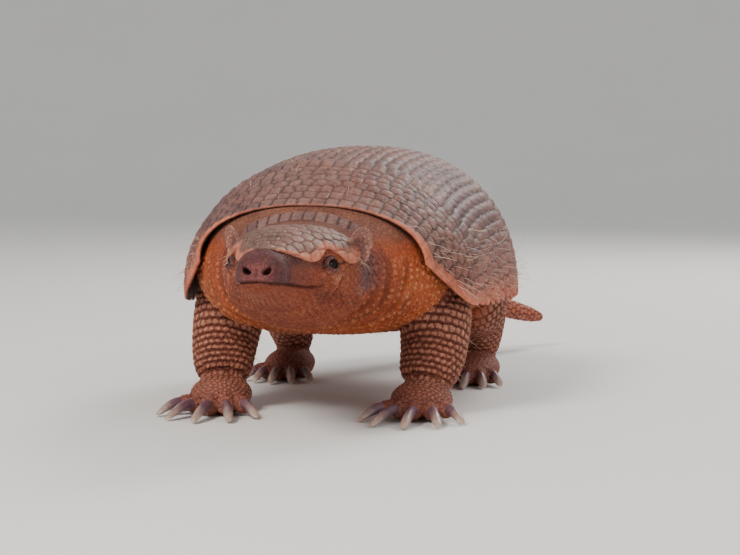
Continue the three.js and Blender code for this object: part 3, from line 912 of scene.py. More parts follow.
def add_scutes(points, masks, face):
    """Scutes with grooves between them, on the legs, feet, cheeks and ears."""
    left = [limb_seeds(FORE, 0.2), limb_seeds(HIND, 0.2), paw_seeds(FORE), paw_seeds(HIND), cheek_seeds(),
            ear_seeds()]
    kinds = np.concatenate([np.full(len(kind), k) for k, kind in enumerate(left)] * 2)
    seeds = both_sides(np.concatenate(left))
    reach, height = np.array(SCUTES)[kinds].T
    seed, middle, border, step = cells(points, seeds)
    share = middle / reach[seed]
    active = fade(0.8, 1.25, share)
    active *= ease(1.2, 3.5, points[:, 2]) * (1 - face.lids) * (1 - masks["snout"]) * (1 - face.pale_scale)
    on_limb = (kinds < 2)[seed]
    row_gap = ease(0.35, 0.8, np.abs(step[:, 2])) * on_limb
    raised = ease(0, (0.2 + 0.12 * row_gap), border / reach[seed])
    raised = 1 - (1 - raised) * np.where(on_limb, 0.5 + 0.5 * row_gap, 1)
    dome = 1 - 0.4 * share ** 2
    relief = active * height[seed] * (raised * dome - 0.55 - 0.35 * row_gap * (1 - raised))
    tone, edge = rng.uniform(0, 1, len(seeds))[seed], 1 - active * (1 - raised)
    return relief, SimpleNamespace(active=active, top=raised * dome, tone=tone, edge=edge)


def add_warts(points, masks, face, scutes):
    """Rows of warts, folds and wrinkles where the skin has no scutes."""
    y, z = points[:, 1], points[:, 2]
    warts = belly_seeds()
    nearest, middle, _, _ = cells(points, warts)
    size = rng.uniform(1.2, 2.1, len(warts))[nearest]
    hollow = (rng.uniform(0, 1, len(warts)) < 0.05)[nearest] * (y > -215)
    bare = (1 - face.lids) * (1 - face.pale_scale) * (1 - scutes.active) * (1 - 0.8 * masks["under_ear"])
    for name in ("snout", "ear", "nape"):
        bare = bare * (1 - masks[name])
    bare *= 1 - ease(104, 112, z) * (y > -215)
    body = bare * (1 - masks["head"])
    on_wart = np.clip(1 - (middle / size) ** 2, 0, 1) ** 1.1 * bare
    on_wart *= 0.3 + 0.7 * ease(-250, -225, y) + 0.25 * waves(points, 26, 6)
    neck = bump(y, -214, 17) * (1 - masks["ear"]) * (1 - 0.6 * masks["nape"])
    rows = np.sin(y * 2 * math.pi / WART_ROW + 1.2 * waves(points, 22))
    neck_folds = np.sin(y * 2 * math.pi / NECK_FOLD + 2.2 * waves(points, 24, 1))
    tail_folds = np.sin(np.hypot(points[:, 0], z - 95) * 1.5 + 1.6 * waves(points, 12, 4))
    wrinkles = np.sin((y + 0.35 * z) * 2.1 + 2.4 * waves(points, 11, 2))
    fine_folds = np.sin((0.8 * y + 0.6 * z) * 1.9 + 2.8 * waves(points, 13, 7))
    relief = (
        np.where(hollow, -1.0, 1.05) * on_wart
        + 0.26 * rows * body * (1 - on_wart)
        + 1.15 * neck * neck_folds * bare
        - 1.5 * masks["nape"] * bump(y, NECK_BAND["y"], 8)
        + 0.7 * masks["rump"] * tail_folds
        + 0.75 * masks["under_ear"] * wrinkles
        + 0.16 * fine_folds * bare * ease(0.1, 0.7, waves(points, 19, 8))
        + 0.3 * waves(points, 9) * bare
        + 0.7 * waves(points, 30, 3) * body
    )
    # The fold and wrinkle shares lie in the troughs of the relief, where the tint paints shade.
    return relief, SimpleNamespace(
        on_wart=on_wart, hollow=hollow, wrinkles=masks["under_ear"] * ease(-0.2, 0.9, -wrinkles),
        neck_folds=neck * bare * ease(-0.2, 1, -neck_folds),
        tail_folds=masks["rump"] * ease(-0.2, 0.9, -tail_folds))


def skin_tint(points, smooth, masks, face, scutes, warts):
    """The skin's colours, from large areas to small marks. smooth are its points before the relief."""
    y, z = smooth[:, 1], smooth[:, 2]
    head = masks["head"]
    limbs = np.clip(masks["foreleg"] + masks["hindleg"], 0, 1)
    paws = np.clip(masks["foreleg_paw"] + masks["hindleg_paw"], 0, 1)
    thigh = ease(58, 92, z)
    # A painted highlight on the domes of the limbs' scutes.
    painted_highlight = 0.75 * limbs * scutes.active * ease(0.62, 0.98, scutes.top) * (1 - 0.6 * paws)
    chin = fade(-2, -0.5, masks["gap"]) * head * (1 - masks["cheek"])
    chin_folds = -np.sin(points[:, 0] * 1.7 + 2.4 * waves(points, 17))
    tint = layered(
        np.tile(BELLY, (len(points), 1)),
        (BELLY_DARK, 0.5 * ease(-0.1, 0.9, waves(points, 34, 5))),
        (BELLY_DARK, 0.4 * ease(0.15, 0.75, waves(points, 13, 9))),
        (THROAT, 0.85 * fade(-232, -200, y)),
        # painted shade in the troughs of the neck's folds
        (BELLY_DARK, 0.65 * warts.neck_folds),
        (NAPE, 0.85 * masks["nape"]),
        (RUMP, 0.9 * masks["rump"]),
        # painted shade in the troughs of the folds round the tail's root
        (LIMB_GROOVE, 0.7 * warts.tail_folds),
        (LIMB, limbs),
        (LIMB_DARK, 0.7 * limbs * thigh),
        (HAND, paws),
        (LIMB_HIGHLIGHT, painted_highlight * (1 - 0.5 * thigh)),
        (PALM, paws * fade(2, 7, points[:, 2])),
        # the grooves between scutes: their own darker colour and painted shade
        (LIMB_GROOVE, 0.85 * (1 - scutes.edge) * (1 - 0.8 * head) * (1 - 0.45 * paws)),
        # painted shade in the troughs of the chin's wrinkles
        (BELLY_DARK, 0.4 * chin * ease(0.1, 1, chin_folds)),
        (CHEEK, 0.5 * masks["cheek"]),
        (PALE_SCALE, 0.6 * face.pale_scale),
        (UNDER_EAR, 0.85 * masks["under_ear"]),
        # painted shade in the troughs of the wrinkles under the ear
        (UNDER_EAR_DARK, 0.85 * warts.wrinkles),
        (SNOUT_SIDE, 0.85 * masks["snout"]),
        (SNOUT, 0.9 * masks["snout_top"]),
        (NOSE, 0.85 * masks["nose"]),
        (NOSE_PINK, 0.8 * masks["nose_pink"]),
        (EAR_SKIN, masks["ear"]),
        # painted shade in the ear's cup
        (EAR_HOLLOW_SHADE, masks["ear_hollow"]),
        # the grooves between the ear's pebbles: their own darker colour and painted shade
        (EAR_DARK, 0.12 * masks["ear"] * (1 - scutes.edge)),
        (UNDER_EYE, 0.6 * face.under_eye),
        (LID, 0.8 * face.lids),
        # painted shade in the creases round the eye
        (LID_DARK, 0.85 * face.creases),
        # the lips' own colour and painted shade in the mouth's groove
        (LIPS, 0.7 * face.lips),
        # painted shade in the nostril pits
        (NOSTRIL, np.clip(1.4 * face.nostrils, 0, 1)),
        (WART, 0.85 * warts.on_wart * (1 - 0.45 * head) * ~warts.hollow),
        # painted shade in the pitted warts
        (BELLY_DARK, np.clip(1.2 * warts.on_wart, 0, 0.9) * warts.hollow),
    )
    return tint * (1 + 0.26 * (scutes.tone - 0.5) * scutes.active * (1 - 0.7 * masks["ear"]))[:, None]


def build_skin():
    """One skin for the head, neck, trunk, ears and legs."""
    skin = skin_form()
    points, nostrils, lips = shape_head(smooth_joins(skin), normals_of(skin))
    eyes = np.zeros((4, len(points)))
    for side in SIDES.values():
        points, shares = round_eye(points, side)
        eyes = np.maximum(eyes, shares)
    lids, creases, under_eye, pale_scale = eyes
    face = SimpleNamespace(nostrils=nostrils, lips=lips, lids=lids, creases=creases, under_eye=under_eye,
                           pale_scale=pale_scale)
    move_points(skin, points)
    masks = skin_masks(points)
    scute_relief, scutes = add_scutes(points, masks, face)
    wart_relief, warts = add_warts(points, masks, face, scutes)
    carved = points + normals_of(skin) * (scute_relief + wart_relief)[:, None]
    carved[:, 2] = np.maximum(carved[:, 2], SOLE_Z)
    move_points(skin, carved)
    tint = skin_tint(carved, points, masks, face, scutes, warts)
    # The groove share tells the material where to paint shade in the grooves between scutes.
    paint(skin, tint=tint, cavity=1 - scutes.edge, wart=warts.on_wart)
    return skin


# ---- Shell plates -------------------------------------------------------------------------

def steps_between(low, high, length, step, fine=(0, 0.3, 0.7, 1.2, 1.9)):
    """Values from low to high for a stretch of a length in mm: a step apart, and closer at the ends."""
    inner = np.linspace(fine[-1] + step, length - fine[-1] - step, max(int(length / step), 2))
    places = np.concatenate([fine, inner, length - np.array(fine[::-1])])
    return low + (high - low) * places / length


def rolled(distance, radius):
    """How far a rounded edge falls at a distance from it."""
    t = np.clip(1 - distance / radius, 0, 1)
    return radius * (1 - np.sqrt(1 - t * t))


INNER_STEP = 6  # a plate's inner face has one column for so many of the outer one's


def plate_piece(name, node, surface, u_values, v_values, thick, relief, tint_of, round_off=1.3, free=()):
    """A closed plate on surface(u, v): a fine carved outer face and a plainer inner one.

    relief and tint_of take the plate's form: u, v, place, and the distances across and along it. It thins
    towards its sides, and towards its first and last rows if free names them."""
    v, u = np.meshgrid(v_values, u_values, indexing="ij")
    place = surface(u, v)
    normal = slopes(place)
    if (normal[len(v_values) // 2, len(u_values) // 2] @ [0, 0, 1]) < 0:
        normal = -normal
    across, along = distances(place, 1), distances(place, 0)
    to_side = np.minimum(across, across[:, -1:] - across)
    to_end = {"first": along, "last": along[-1:] - along}
    form = SimpleNamespace(u=u, v=v, place=place, across=across, along=along)
    height, layers = relief(form)
    to_edge = np.minimum(to_side, np.minimum(*to_end.values()))
    outer = place + normal * (height - rolled(to_edge, round_off))[..., None]
    to_free = to_side
    for end in free:
        to_free = np.minimum(to_free, to_end[end])
    under = place - normal * (thick * (0.5 + 0.5 * ease(0, 9, to_free)))[..., None]
    inner = under[:, ::INNER_STEP]
    if (len(u_values) - 1) % INNER_STEP:
        inner = np.concatenate([inner, under[:, -1:]], axis=1)
    grid = np.concatenate([outer, inner[:, ::-1]], axis=1)
    rings, sides = grid.shape[:2]
    wall = tube_faces(rings, sides)[0]
    outer_count, inner_count = outer.shape[1], inner.shape[1]
    j = np.arange(outer_count - 1)
    behind = sides - 1 - np.minimum((j + INNER_STEP // 2) // INNER_STEP, inner_count - 1)
    strip = np.stack([j, j + 1, behind], -1)
    k = np.arange(inner_count - 1)
    turn = np.minimum((k + 1) * INNER_STEP - INNER_STEP // 2, outer_count - 1)
    fan = np.stack([turn, sides - 2 - k, sides - 1 - k], -1)
    first = np.concatenate([strip, fan])
    caps = np.concatenate([first[:, [0, 2, 1]], first + (rings - 1) * sides])
    piece = new_piece(name, grid.reshape(-1, 3), [wall, caps])
    # tint_of also gives the groove share, where the material paints shade.
    tint, cavity = tint_of(form, layers)
    # The inner faces take the dark groove colour: painted shade beneath the plates.
    inside = np.zeros((rings, inner_count, 3)) + SHELL_GROOVE
    paint(piece, tint=np.concatenate([tint, inside], 1).reshape(-1, 3),
          cavity=np.concatenate([cavity, np.zeros((rings, inner_count))], 1).ravel())
    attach(piece, "root")
    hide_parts(node)
    return piece


def arc_length(row, reach):
    """Distance round the shell from the back's midline, in millimetres, for arrays."""
    table_rows = np.linspace(0, TOTAL_ROWS, 47)
    table_reach = np.linspace(0, 1, 60)
    rows, reaches = np.meshgrid(table_rows, table_reach, indexing="ij")
    far = distances(shell_face(rows, reaches), 1)
    r = np.clip(row / TOTAL_ROWS * (len(table_rows) - 1), 0, len(table_rows) - 1.001)
    q = np.clip(np.abs(reach) * (len(table_reach) - 1), 0, len(table_reach) - 1.001)
    i, j, a, b = r.astype(int), q.astype(int), r % 1, q % 1
    value = (far[i, j] * (1 - a) * (1 - b) + far[i + 1, j] * a * (1 - b)
             + far[i, j + 1] * (1 - a) * b + far[i + 1, j + 1] * a * b)
    return np.sign(reach) * value


MEAN_ROW = 13.5  # length of a row of scutes along the back, for measuring in the plane of the pattern
SEED_WANDER = 0.55  # how far the scutes of a shield stray from their rows


def shield_relief(rows_of_seeds, width, margin_at=None):
    """Many-sided scutes in staggered rows, on a shield whose v is the row number.

    margin_at(u, v) is how wide a smooth margin runs along the shield's edge."""
    def relief(form):
        u, v, across = form.u, form.v, form.across
        seeds = []
        for k, row in enumerate(rows_of_seeds):
            half = float(arc_length(np.array([row]), np.array([1.0]))[0])
            places = np.arange(-half, half + 1, width) + width * 0.5 * (k % 2)
            seeds.append(np.stack([places, 0 * places + row * MEAN_ROW, 0 * places], -1))
        seeds = np.concatenate(seeds)
        seeds += rng.normal(0, SEED_WANDER, seeds.shape) * [1, 1, 0]
        flat = np.stack([arc_length(v, u), v * MEAN_ROW, 0 * v], -1).reshape(-1, 3)
        seed, _, border, _ = cells(flat, seeds)
        offset = flat - seeds[seed]
        raised = ease(0, 1.5, border)
        ramp = 0.05 * offset[:, 1]
        keel = 0.35 * bump(offset[:, 0], 0, width * 0.16) * ease(1.2, 3.4, border)
        ring = -0.28 * bump(border, 2.5, 0.5)
        height = 1.0 * raised - 0.8 + ramp * raised + keel + ring
        tone = rng.uniform(0, 1, len(seeds))[seed]
        shape = u.shape
        height, raised, tone = height.reshape(shape), raised.reshape(shape), tone.reshape(shape)
        margin = np.zeros(shape)
        if margin_at:
            to_edge = np.minimum(np.minimum(across, across[:, -1:] - across), form.along)
            wide = margin_at(u, v)
            margin = fade(wide - 1.2, wide + 0.6, to_edge)
            flat_edge = 0.1 + 0.32 * (raised - 1) + 0.15 * waves(flat, 7, 2).reshape(shape)
            height = mix(height, flat_edge, margin) - 0.2 * bump(to_edge, wide + 0.4, 0.7)
            raised = mix(raised, 1, 0.7 * margin)
            margin = margin * (1 - 0.5 * to_edge / wide) * (0.35 + 0.65 * ease(0.15, 0.6, np.abs(u)))
        return height, {"edge": raised, "tone": tone, "margin": margin}
    return relief


BAND_SCUTE = 8.2  # width of a scute of a band


def column_tone(number, shift=0):
    """A tone from 0 to 1 that jumps about from one column of scutes to the next."""
    return (np.sin(number * 12.99 + shift) * 43758.5) % 1


def band_relief(index):
    """One row of oblong scutes, whose back edge stands over the next band."""
    def relief(form):
        along, width = form.along, BAND_SCUTE
        s = arc_length(np.full_like(form.u, SHOULDER_ROWS + index + 0.5), form.u)
        column = s / width + 0.5
        number = np.floor(column)
        wobble = 0.5 * np.sin(along * 0.5 + number * 1.7)
        to_side = np.minimum(column % 1, 1 - column % 1) * width + 0.15 * wobble
        length = along[-1:]
        raised = ease(0, 1.3, to_side) * ease(-0.4, 1.2, length - along + 0.8)
        front = ease(2.2, 4.2, along)
        share = along / length
        oval = np.hypot((column % 1 - 0.5) * width / 2.5, (share - 0.58) * length / 7.4)
        crest = 0.4 * fade(0.75, 1.15, oval) - 0.3 * bump(oval, 1.15, 0.16)
        height = BAND_LIP * (share - 0.5) + 0.9 * raised - 0.65 + (crest - 0.4) * front + 0.25 * (1 - front)
        # The edge share is lower at the band's front, under the band before it, so the tint paints shade
        # there.
        return height, {"edge": raised * (0.45 + 0.55 * front), "tone": column_tone(number, index * 4.1)}
    return relief


def shell_tint(form, layers):
    """The shell's colours: clouded scutes, grooves with painted shade, red dust with painted warm light
    from the ground low down, and a pale rosy margin.
    """
    edge, height = layers["edge"], form.place[..., 2]
    cloud = waves(form.place, 55, 1)
    low = fade(72, 90, height + 3 * cloud)
    low = np.maximum(0.8 * low, layers.get("margin", 0 * low))
    tint = layered(
        np.zeros((*edge.shape, 3)) + SHELL,
        (SHELL_PALE, np.clip(0.35 + 0.3 * cloud + 0.5 * (layers["tone"] - 0.5), 0, 1)),
        # red dust and painted warm light from the ground, over the lower shell
        (SHELL_DUST_AND_GROUND_LIGHT, 0.45 * fade(84, 128, height + 14 * cloud)),
        (SHELL_EDGE, low),
        # the grooves: their own darker colour and painted shade
        (SHELL_GROOVE, 0.8 * (1 - edge) * (1 - 0.5 * low)),
    )
    return tint, 1 - edge


def margin_teeth(row, reach, depth):
    """Cuts the lower margin up between rows, so that each row ends in a tooth that points back."""
    share = row % 1
    tooth = ease(0, 0.75, share) * fade(0.86, 1, share)
    return reach * (1 - depth * (1 - tooth) * ease(0.8, 1, np.abs(reach)))


SHELL_GIRTH, SHOULDER_LENGTH, BAND_LENGTH, HIP_LENGTH = 296, 84, 21.5, 152  # for spacing the plates' points
TOOTH = 0.03  # how far the lower margin is cut up between rows, as a share of the reach
JUST_UNDER = 0.999  # keeps the overlapping edge of a plate on its own last tooth
SHOULDER_ROW = 0.72  # length of a row of the shoulder's scutes, in rows of the shell


def build_shell():
    """The shoulder shield, the hip shield and the six bands between them."""
    across = steps_between(-1, 1, SHELL_GIRTH, 1.15)
    seed_rows = np.arange(0.35, SHOULDER_ROWS, SHOULDER_ROW)

    def shoulder_face(u, v):
        tooth_row = np.minimum(v, SHOULDER_ROWS - 1 + JUST_UNDER)
        return shell_face(v, margin_teeth(tooth_row, u, 0.4 * TOOTH * ease(4, 6, v)))

    def shoulder_margin(u, v):
        return 1.4 + 8.6 * ease(0.35, 0.85, np.abs(u)) * (1 - 0.55 * ease(2.5, 6, v))

    def shoulder_relief(form):
        height, layers = shield_relief(seed_rows, 9.2, shoulder_margin)(form)
        return height + 0.9 * ease(SHOULDER_ROWS - 1.2, SHOULDER_ROWS, form.v), layers

    def toothed(last):
        return lambda u, v: shell_face(v, margin_teeth(np.minimum(v, last), u, TOOTH))

    hip_start = SHOULDER_ROWS + BAND_COUNT
    hip_rows = np.arange(hip_start + 0.5, TOTAL_ROWS + 0.6)
    pieces = [
        plate_piece("shoulder_armour", "shoulder_shield", shoulder_face, across,
                    steps_between(0, SHOULDER_ROWS + OVERLAP, SHOULDER_LENGTH, 1.1),
                    SHELL_THICK, shoulder_relief, shell_tint, round_off=0.9, free=("first",)),
        plate_piece("hip_armour", "hip_shield", toothed(TOTAL_ROWS), across,
                    steps_between(hip_start, TOTAL_ROWS, HIP_LENGTH, 1.15),
                    SHELL_THICK, shield_relief(hip_rows, 8.4), shell_tint, free=("last",)),
    ]
    for i in range(BAND_COUNT):
        first = SHOULDER_ROWS + i
        along = steps_between(first + 0.01, first + 1 + OVERLAP, BAND_LENGTH, 0.95)
        pieces.append(plate_piece(f"band_armour_{i + 1}", f"band_{i + 1}", toothed(first + JUST_UNDER),
                                  across, along, SHELL_THICK, band_relief(i), shell_tint, round_off=0.9))
    return pieces


EYE_BACK = 59  # the eye's distance back from the nose
SHIELD_REACH = through([[17, 0.5], [29, 1], [42, 1.28], [58, 1.26], [75, 1.36], [90, 1.24], [107, 0.66]])


def shield_reach(back):
    """How far round the head its shield comes: it notches over the eye."""
    return SHIELD_REACH(back)[..., 0] - 0.26 * bump(back, EYE_BACK, 9)


SHIELD_SCUTE = 9.2  # width of a scute of the head shield


def head_shield_seeds(start, stop, thick):
    """Many-sided scutes of about 9 mm, the same on both sides but for a small wander."""
    seeds = []
    for k, back in enumerate(np.arange(start + 3, stop + 5, 8.2)):
        fine = np.linspace(0, 1.6, 200)
        line = on_head(np.full_like(fine, back), fine, thick)
        places = np.arange(SHIELD_SCUTE / 2 * (k % 2), distances(line)[-1], SHIELD_SCUTE)
        places = places + rng.normal(0, 0.7, len(places)) * (places > 0)
        row = at_distances(line, places)
        row[:, 1] += rng.normal(0, 0.9, len(row))
        seeds += [row, (row * [-1, 1, 1])[places > 0]]
    return jittered(seeds, 0.3)


def build_head_shield():
    start, stop, thick, sink = HEAD_SHIELD.values()
    face = thick * 0.75  # the carving stands over this face

    def surface(u, v):
        back = start + (stop - start) * v
        return on_head(back, u * shield_reach(back), face)

    def relief(form):
        flat, shape = form.place.reshape(-1, 3), form.u.shape
        seeds = head_shield_seeds(start, stop, thick)
        seed, middle, border, _ = cells(flat, seeds)
        raised = ease(0, 1.1, border)
        height = 0.6 * raised - 0.3 - 0.012 * middle ** 2
        height += 0.25 * waves(flat, 16) + 0.12 * waves(flat, 4, 2)
        tone = rng.uniform(0, 1, len(seeds))[seed]
        return height.reshape(shape), {"edge": raised.reshape(shape), "tone": tone.reshape(shape)}

    def tint_of(form, layers):
        edge = layers["edge"]
        light = 0.86 + 0.2 * layers["tone"] + 0.16 * waves(form.place, 20, 4)
        tint = layered(
            light[..., None] * SHIELD,
            # the grooves: their own darker colour and painted shade
            (SHIELD_GROOVE, 0.42 * (1 - edge)),
            (SHIELD_EDGE, 0.85 * ease(0.7, 0.93, np.abs(form.u)) * fade(0.8, 0.95, form.v)),
        )
        return tint, 1 - edge

    return plate_piece("head_armour", "head_shield", surface, steps_between(-1, 1, 100, 0.6),
                       steps_between(0, 1, 96, 0.6), face + sink, relief, tint_of, round_off=1.1)


def build_neck_band():
    """The single band of scutes on the nape; its ends sink into the skin."""
    def surface(u, v):
        lift = 1.1 - 0.7 * v * v - 2.6 * ease(0.7, 1, np.abs(u)) ** 2
        y = NECK_BAND["y"] + NECK_BAND["half"] * v * (1 - 0.35 * u ** 6)
        size = body_size(y)
        angle = u * NECK_BAND["reach"]
        return np.stack([
            (size[..., 0] + lift) * np.sin(angle),
            y - 2 * np.sin(angle) ** 2,
            FLANK_Z + (size[..., 1] - FLANK_Z + lift) * np.cos(angle),
        ], -1)

    def relief(form):
        width, across = 8.0, form.across
        column = (across - across[:, across.shape[1] // 2][:, None]) / width
        raised = ease(0, 1.4, np.minimum(column % 1, 1 - column % 1) * width)
        return 0.9 * raised - 0.6 + 0.4 * form.v, {"edge": raised, "tone": column_tone(np.floor(column))}

    return plate_piece("neck_armour", "neck_band", surface, steps_between(-1, 1, 100, 0.8),
                       steps_between(-1, 1, 10, 0.7), 3, relief, shell_tint, round_off=1.8)


# ---- Tail ---------------------------------------------------------------------------------

def tail_ring_places():
    """Where the tail's rings start, as t along its path: long rings at the root, short ones at the tip."""
    t = np.linspace(0, 1, 400)
    far = distances(tail_path(t))
    starts = [0.0]
    while starts[-1] < far[-1]:
        starts.append(starts[-1] + 5 + 8.5 * (1 - starts[-1] / far[-1]) ** 1.4)
    return np.interp(np.array(starts[:-1]), far, t)


TAIL_START = 0.02  # where the tail's armour starts, as t along its path
TAIL_RINGS = np.append(tail_ring_places(), 1.001)


def build_tail():
    """The tail in one piece: rings of scutes at its root, and rows of scales behind."""
    def surface(t, angle):
        return on_path(tail_path, tail_radius, t, angle)

    rings, sides = 300, 128
    _, angle = ring_grid(rings, sides)
    t = np.broadcast_to(np.linspace(TAIL_START, 1, rings)[:, None], angle.shape)
    place = surface(t, angle)
    normal = slopes(place, around=True)
    middle = place.mean(1, keepdims=True)
    normal *= np.sign(((place - middle) * normal).sum(-1).mean())
    ring = np.clip(np.searchsorted(TAIL_RINGS, t) - 1, 0, len(TAIL_RINGS) - 2)
    share = np.clip((t - TAIL_RINGS[ring]) / (TAIL_RINGS[ring + 1] - TAIL_RINGS[ring]), 0, 1)
    seeds = []
    for k in range(len(TAIL_RINGS) - 1):
        at = (TAIL_RINGS[k] + TAIL_RINGS[k + 1]) / 2
        radius = float(tail_radius(at)[0])
        count = max(int(round(2 * math.pi * radius / (7.4 - 3 * at))), 7)
        turns = (np.arange(count) + 0.5 * (k % 2)) / count * 2 * math.pi
        seeds.append(surface(np.full(count, at), turns) + rng.normal(0, 0.3, (count, 3)))
    seeds = np.concatenate(seeds)
    seed, far, border, _ = cells(place.reshape(-1, 3), seeds)
    far, border = far.reshape(t.shape), border.reshape(t.shape)
    raised = ease(0, 1.3, border)
    lip = 1.5 * fade(0.3, 0.6, t) + 0.7
    height = lip * (share ** 1.3 * fade(0.9, 1, share) - 0.4) + 0.75 * raised - 0.5 - 0.012 * far ** 2
    height = height * fade(0.985, 1, t)
    grid = place + normal * height[..., None]
    tail = new_piece("tail_armour", tube_points(grid), tube_faces(rings, sides))
    tone = rng.uniform(0, 1, len(seeds))[seed].reshape(t.shape)
    tint = layered(
        np.zeros((*t.shape, 3)) + TAIL,
        (TAIL_PALE, np.clip(0.65 * share * raised + 0.3 * (tone - 0.5), 0, 1)),
        # the grooves and the step under each ring's lip: their own darker colour and painted shade
        (TAIL_GROOVE, 0.85 * (1 - raised * fade(0.93, 1, share))),
    )
    ends = np.tile(TAIL, (2, 1))
    # The groove share tells the material where to paint shade between the scutes.
    paint(tail, tint=np.concatenate([tint.reshape(-1, 3), ends]),
          cavity=np.concatenate([1 - raised.ravel(), [0, 0]]))
    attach(tail, "root")
    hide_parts("tail_base", "tail_middle", "tail_tip")
    return tail


# ---- Eyes and claws -----------------------------------------------------------------------

def build_eye(side_name, side):
    """An eyeball whose clear front bulges a little."""
    out, back, up = (axis * [side, 1, 1] for axis in eye_axes())
    rings, sides = 40, 64
    _, turn = ring_grid(rings, sides)
    tilt = np.broadcast_to(np.linspace(0.02, math.pi - 0.02, rings)[:, None], turn.shape)
    radius = EYE_RADIUS * (0.985 + 0.075 * np.exp(-(tilt / 0.6) ** 4))
    grid = (EYE_CENTRE * [side, 1, 1] + out * (radius * np.cos(tilt))[..., None]
            + back * (radius * np.sin(tilt) * np.cos(turn))[..., None]
            + up * (radius * np.sin(tilt) * np.sin(turn))[..., None])
    eye = new_piece(f"eyeball_{side_name}", tube_points(grid), tube_faces(rings, sides))
    paint(eye, from_front=np.concatenate([tilt.ravel(), [0, math.pi]]))
    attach(eye, "root")
    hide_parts(f"eye_{side_name}")
    return eye


def build_claws():
    claws = []
    share = np.repeat(np.linspace(0, 1, CLAW_RINGS), CLAW_SIDES)
    for leg_name, leg in LEGS.items():
        for i, toe in enumerate(leg["toes"], 1):
            left = claw_form(leg, toe)
            for side_name, form in (("left", left), ("right", mirror_form(left))):
                node = f"{leg_name}_claw_{i}_{side_name}"
                claw = new_piece(f"claw_{leg_name}_{i}_{side_name}", *form)
                paint(claw, along=np.concatenate([share, [0, 1]]))
                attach(claw, "root")
                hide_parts(node)
                claws.append(claw)
    return claws


# ---- Bristles -----------------------------------------------------------------------------

BRISTLE_SIDES, BRISTLE_STEPS = 3, 5
PATCH = 0.003  # size of a bristle's patch in the bake map
WIDEST = 124  # how far from the middle a bristle may reach


def bristle_piece(name, roots, along, normals, lengths, radii, places, lift):
    """Tapered, curved bristles joined in one mesh.

    lift is each one's angle off the surface; places are the roots on a flat map of the shell or skin."""
    count = len(roots)
    along, normals = unit(along), unit(normals)
    start = unit(along * np.cos(lift)[:, None] + normals * np.sin(lift)[:, None])
    start = unit(start + rng.normal(0, 0.1, start.shape))
    bend = along * 0.5 - normals * 0.3 - [0, 0, 0.25] + rng.normal(0, 0.36, start.shape)
    side = unit(np.cross(start, normals + 0.01))
    other = np.cross(start, side)
    t = np.linspace(0, 1, BRISTLE_STEPS + 1)
    spine = (roots[:, None] + start[:, None] * (lengths[:, None] * t)[..., None]
             + bend[:, None] * (lengths[:, None] * t ** 2 * 0.6)[..., None])
    root_x = np.abs(roots[:, 0])
    past = np.maximum(np.abs(spine[..., 0]).max(1) - root_x, 0.01)
    shorter = np.clip((WIDEST - root_x) / past, 0.2, 1)
    spine = roots[:, None] + (spine - roots[:, None]) * shorter[:, None, None]
    thick = radii[:, None] * (1 - t) ** 0.6 + 0.03
    turn = np.arange(BRISTLE_SIDES) / BRISTLE_SIDES * 2 * math.pi
    ring = side[:, None, None] * np.cos(turn)[:, None] + other[:, None, None] * np.sin(turn)[:, None]
    points = spine[:, :, None] + ring * thick[..., None, None]
    per = (BRISTLE_STEPS + 1) * BRISTLE_SIDES
    i = np.arange(BRISTLE_STEPS)[:, None] * BRISTLE_SIDES
    j = np.arange(BRISTLE_SIDES)
    k = (j + 1) % BRISTLE_SIDES
    wall = np.stack([i + j, i + k, i + BRISTLE_SIDES + k, i + BRISTLE_SIDES + j], -1).reshape(-1, 4)
    ends = np.array([[2, 1, 0], [per - 3, per - 2, per - 1]])
    base = np.arange(count)[:, None, None] * per
    faces = [(wall + base).reshape(-1, 4), (ends + base).reshape(-1, 3)]
    piece = new_piece(name, points.reshape(-1, 3), faces)
    shade = np.repeat(rng.uniform(0, 1, count), per)
    paint(piece, shade=shade, along=np.tile(np.repeat(t, BRISTLE_SIDES), count))
    own = np.stack([np.tile(j / BRISTLE_SIDES, BRISTLE_STEPS + 1), np.repeat(t, BRISTLE_SIDES)], -1) * PATCH
    uv = (places[:, None] + own).reshape(-1, 2)
    corners = read(piece.data.loops, "vertex_index", 1, np.int32)
    layer = piece.data.uv_layers.new(name="OFBake")
    layer.data.foreach_set("uv", uv[corners].astype(np.float32).ravel())
    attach(piece, "root")
    return piece


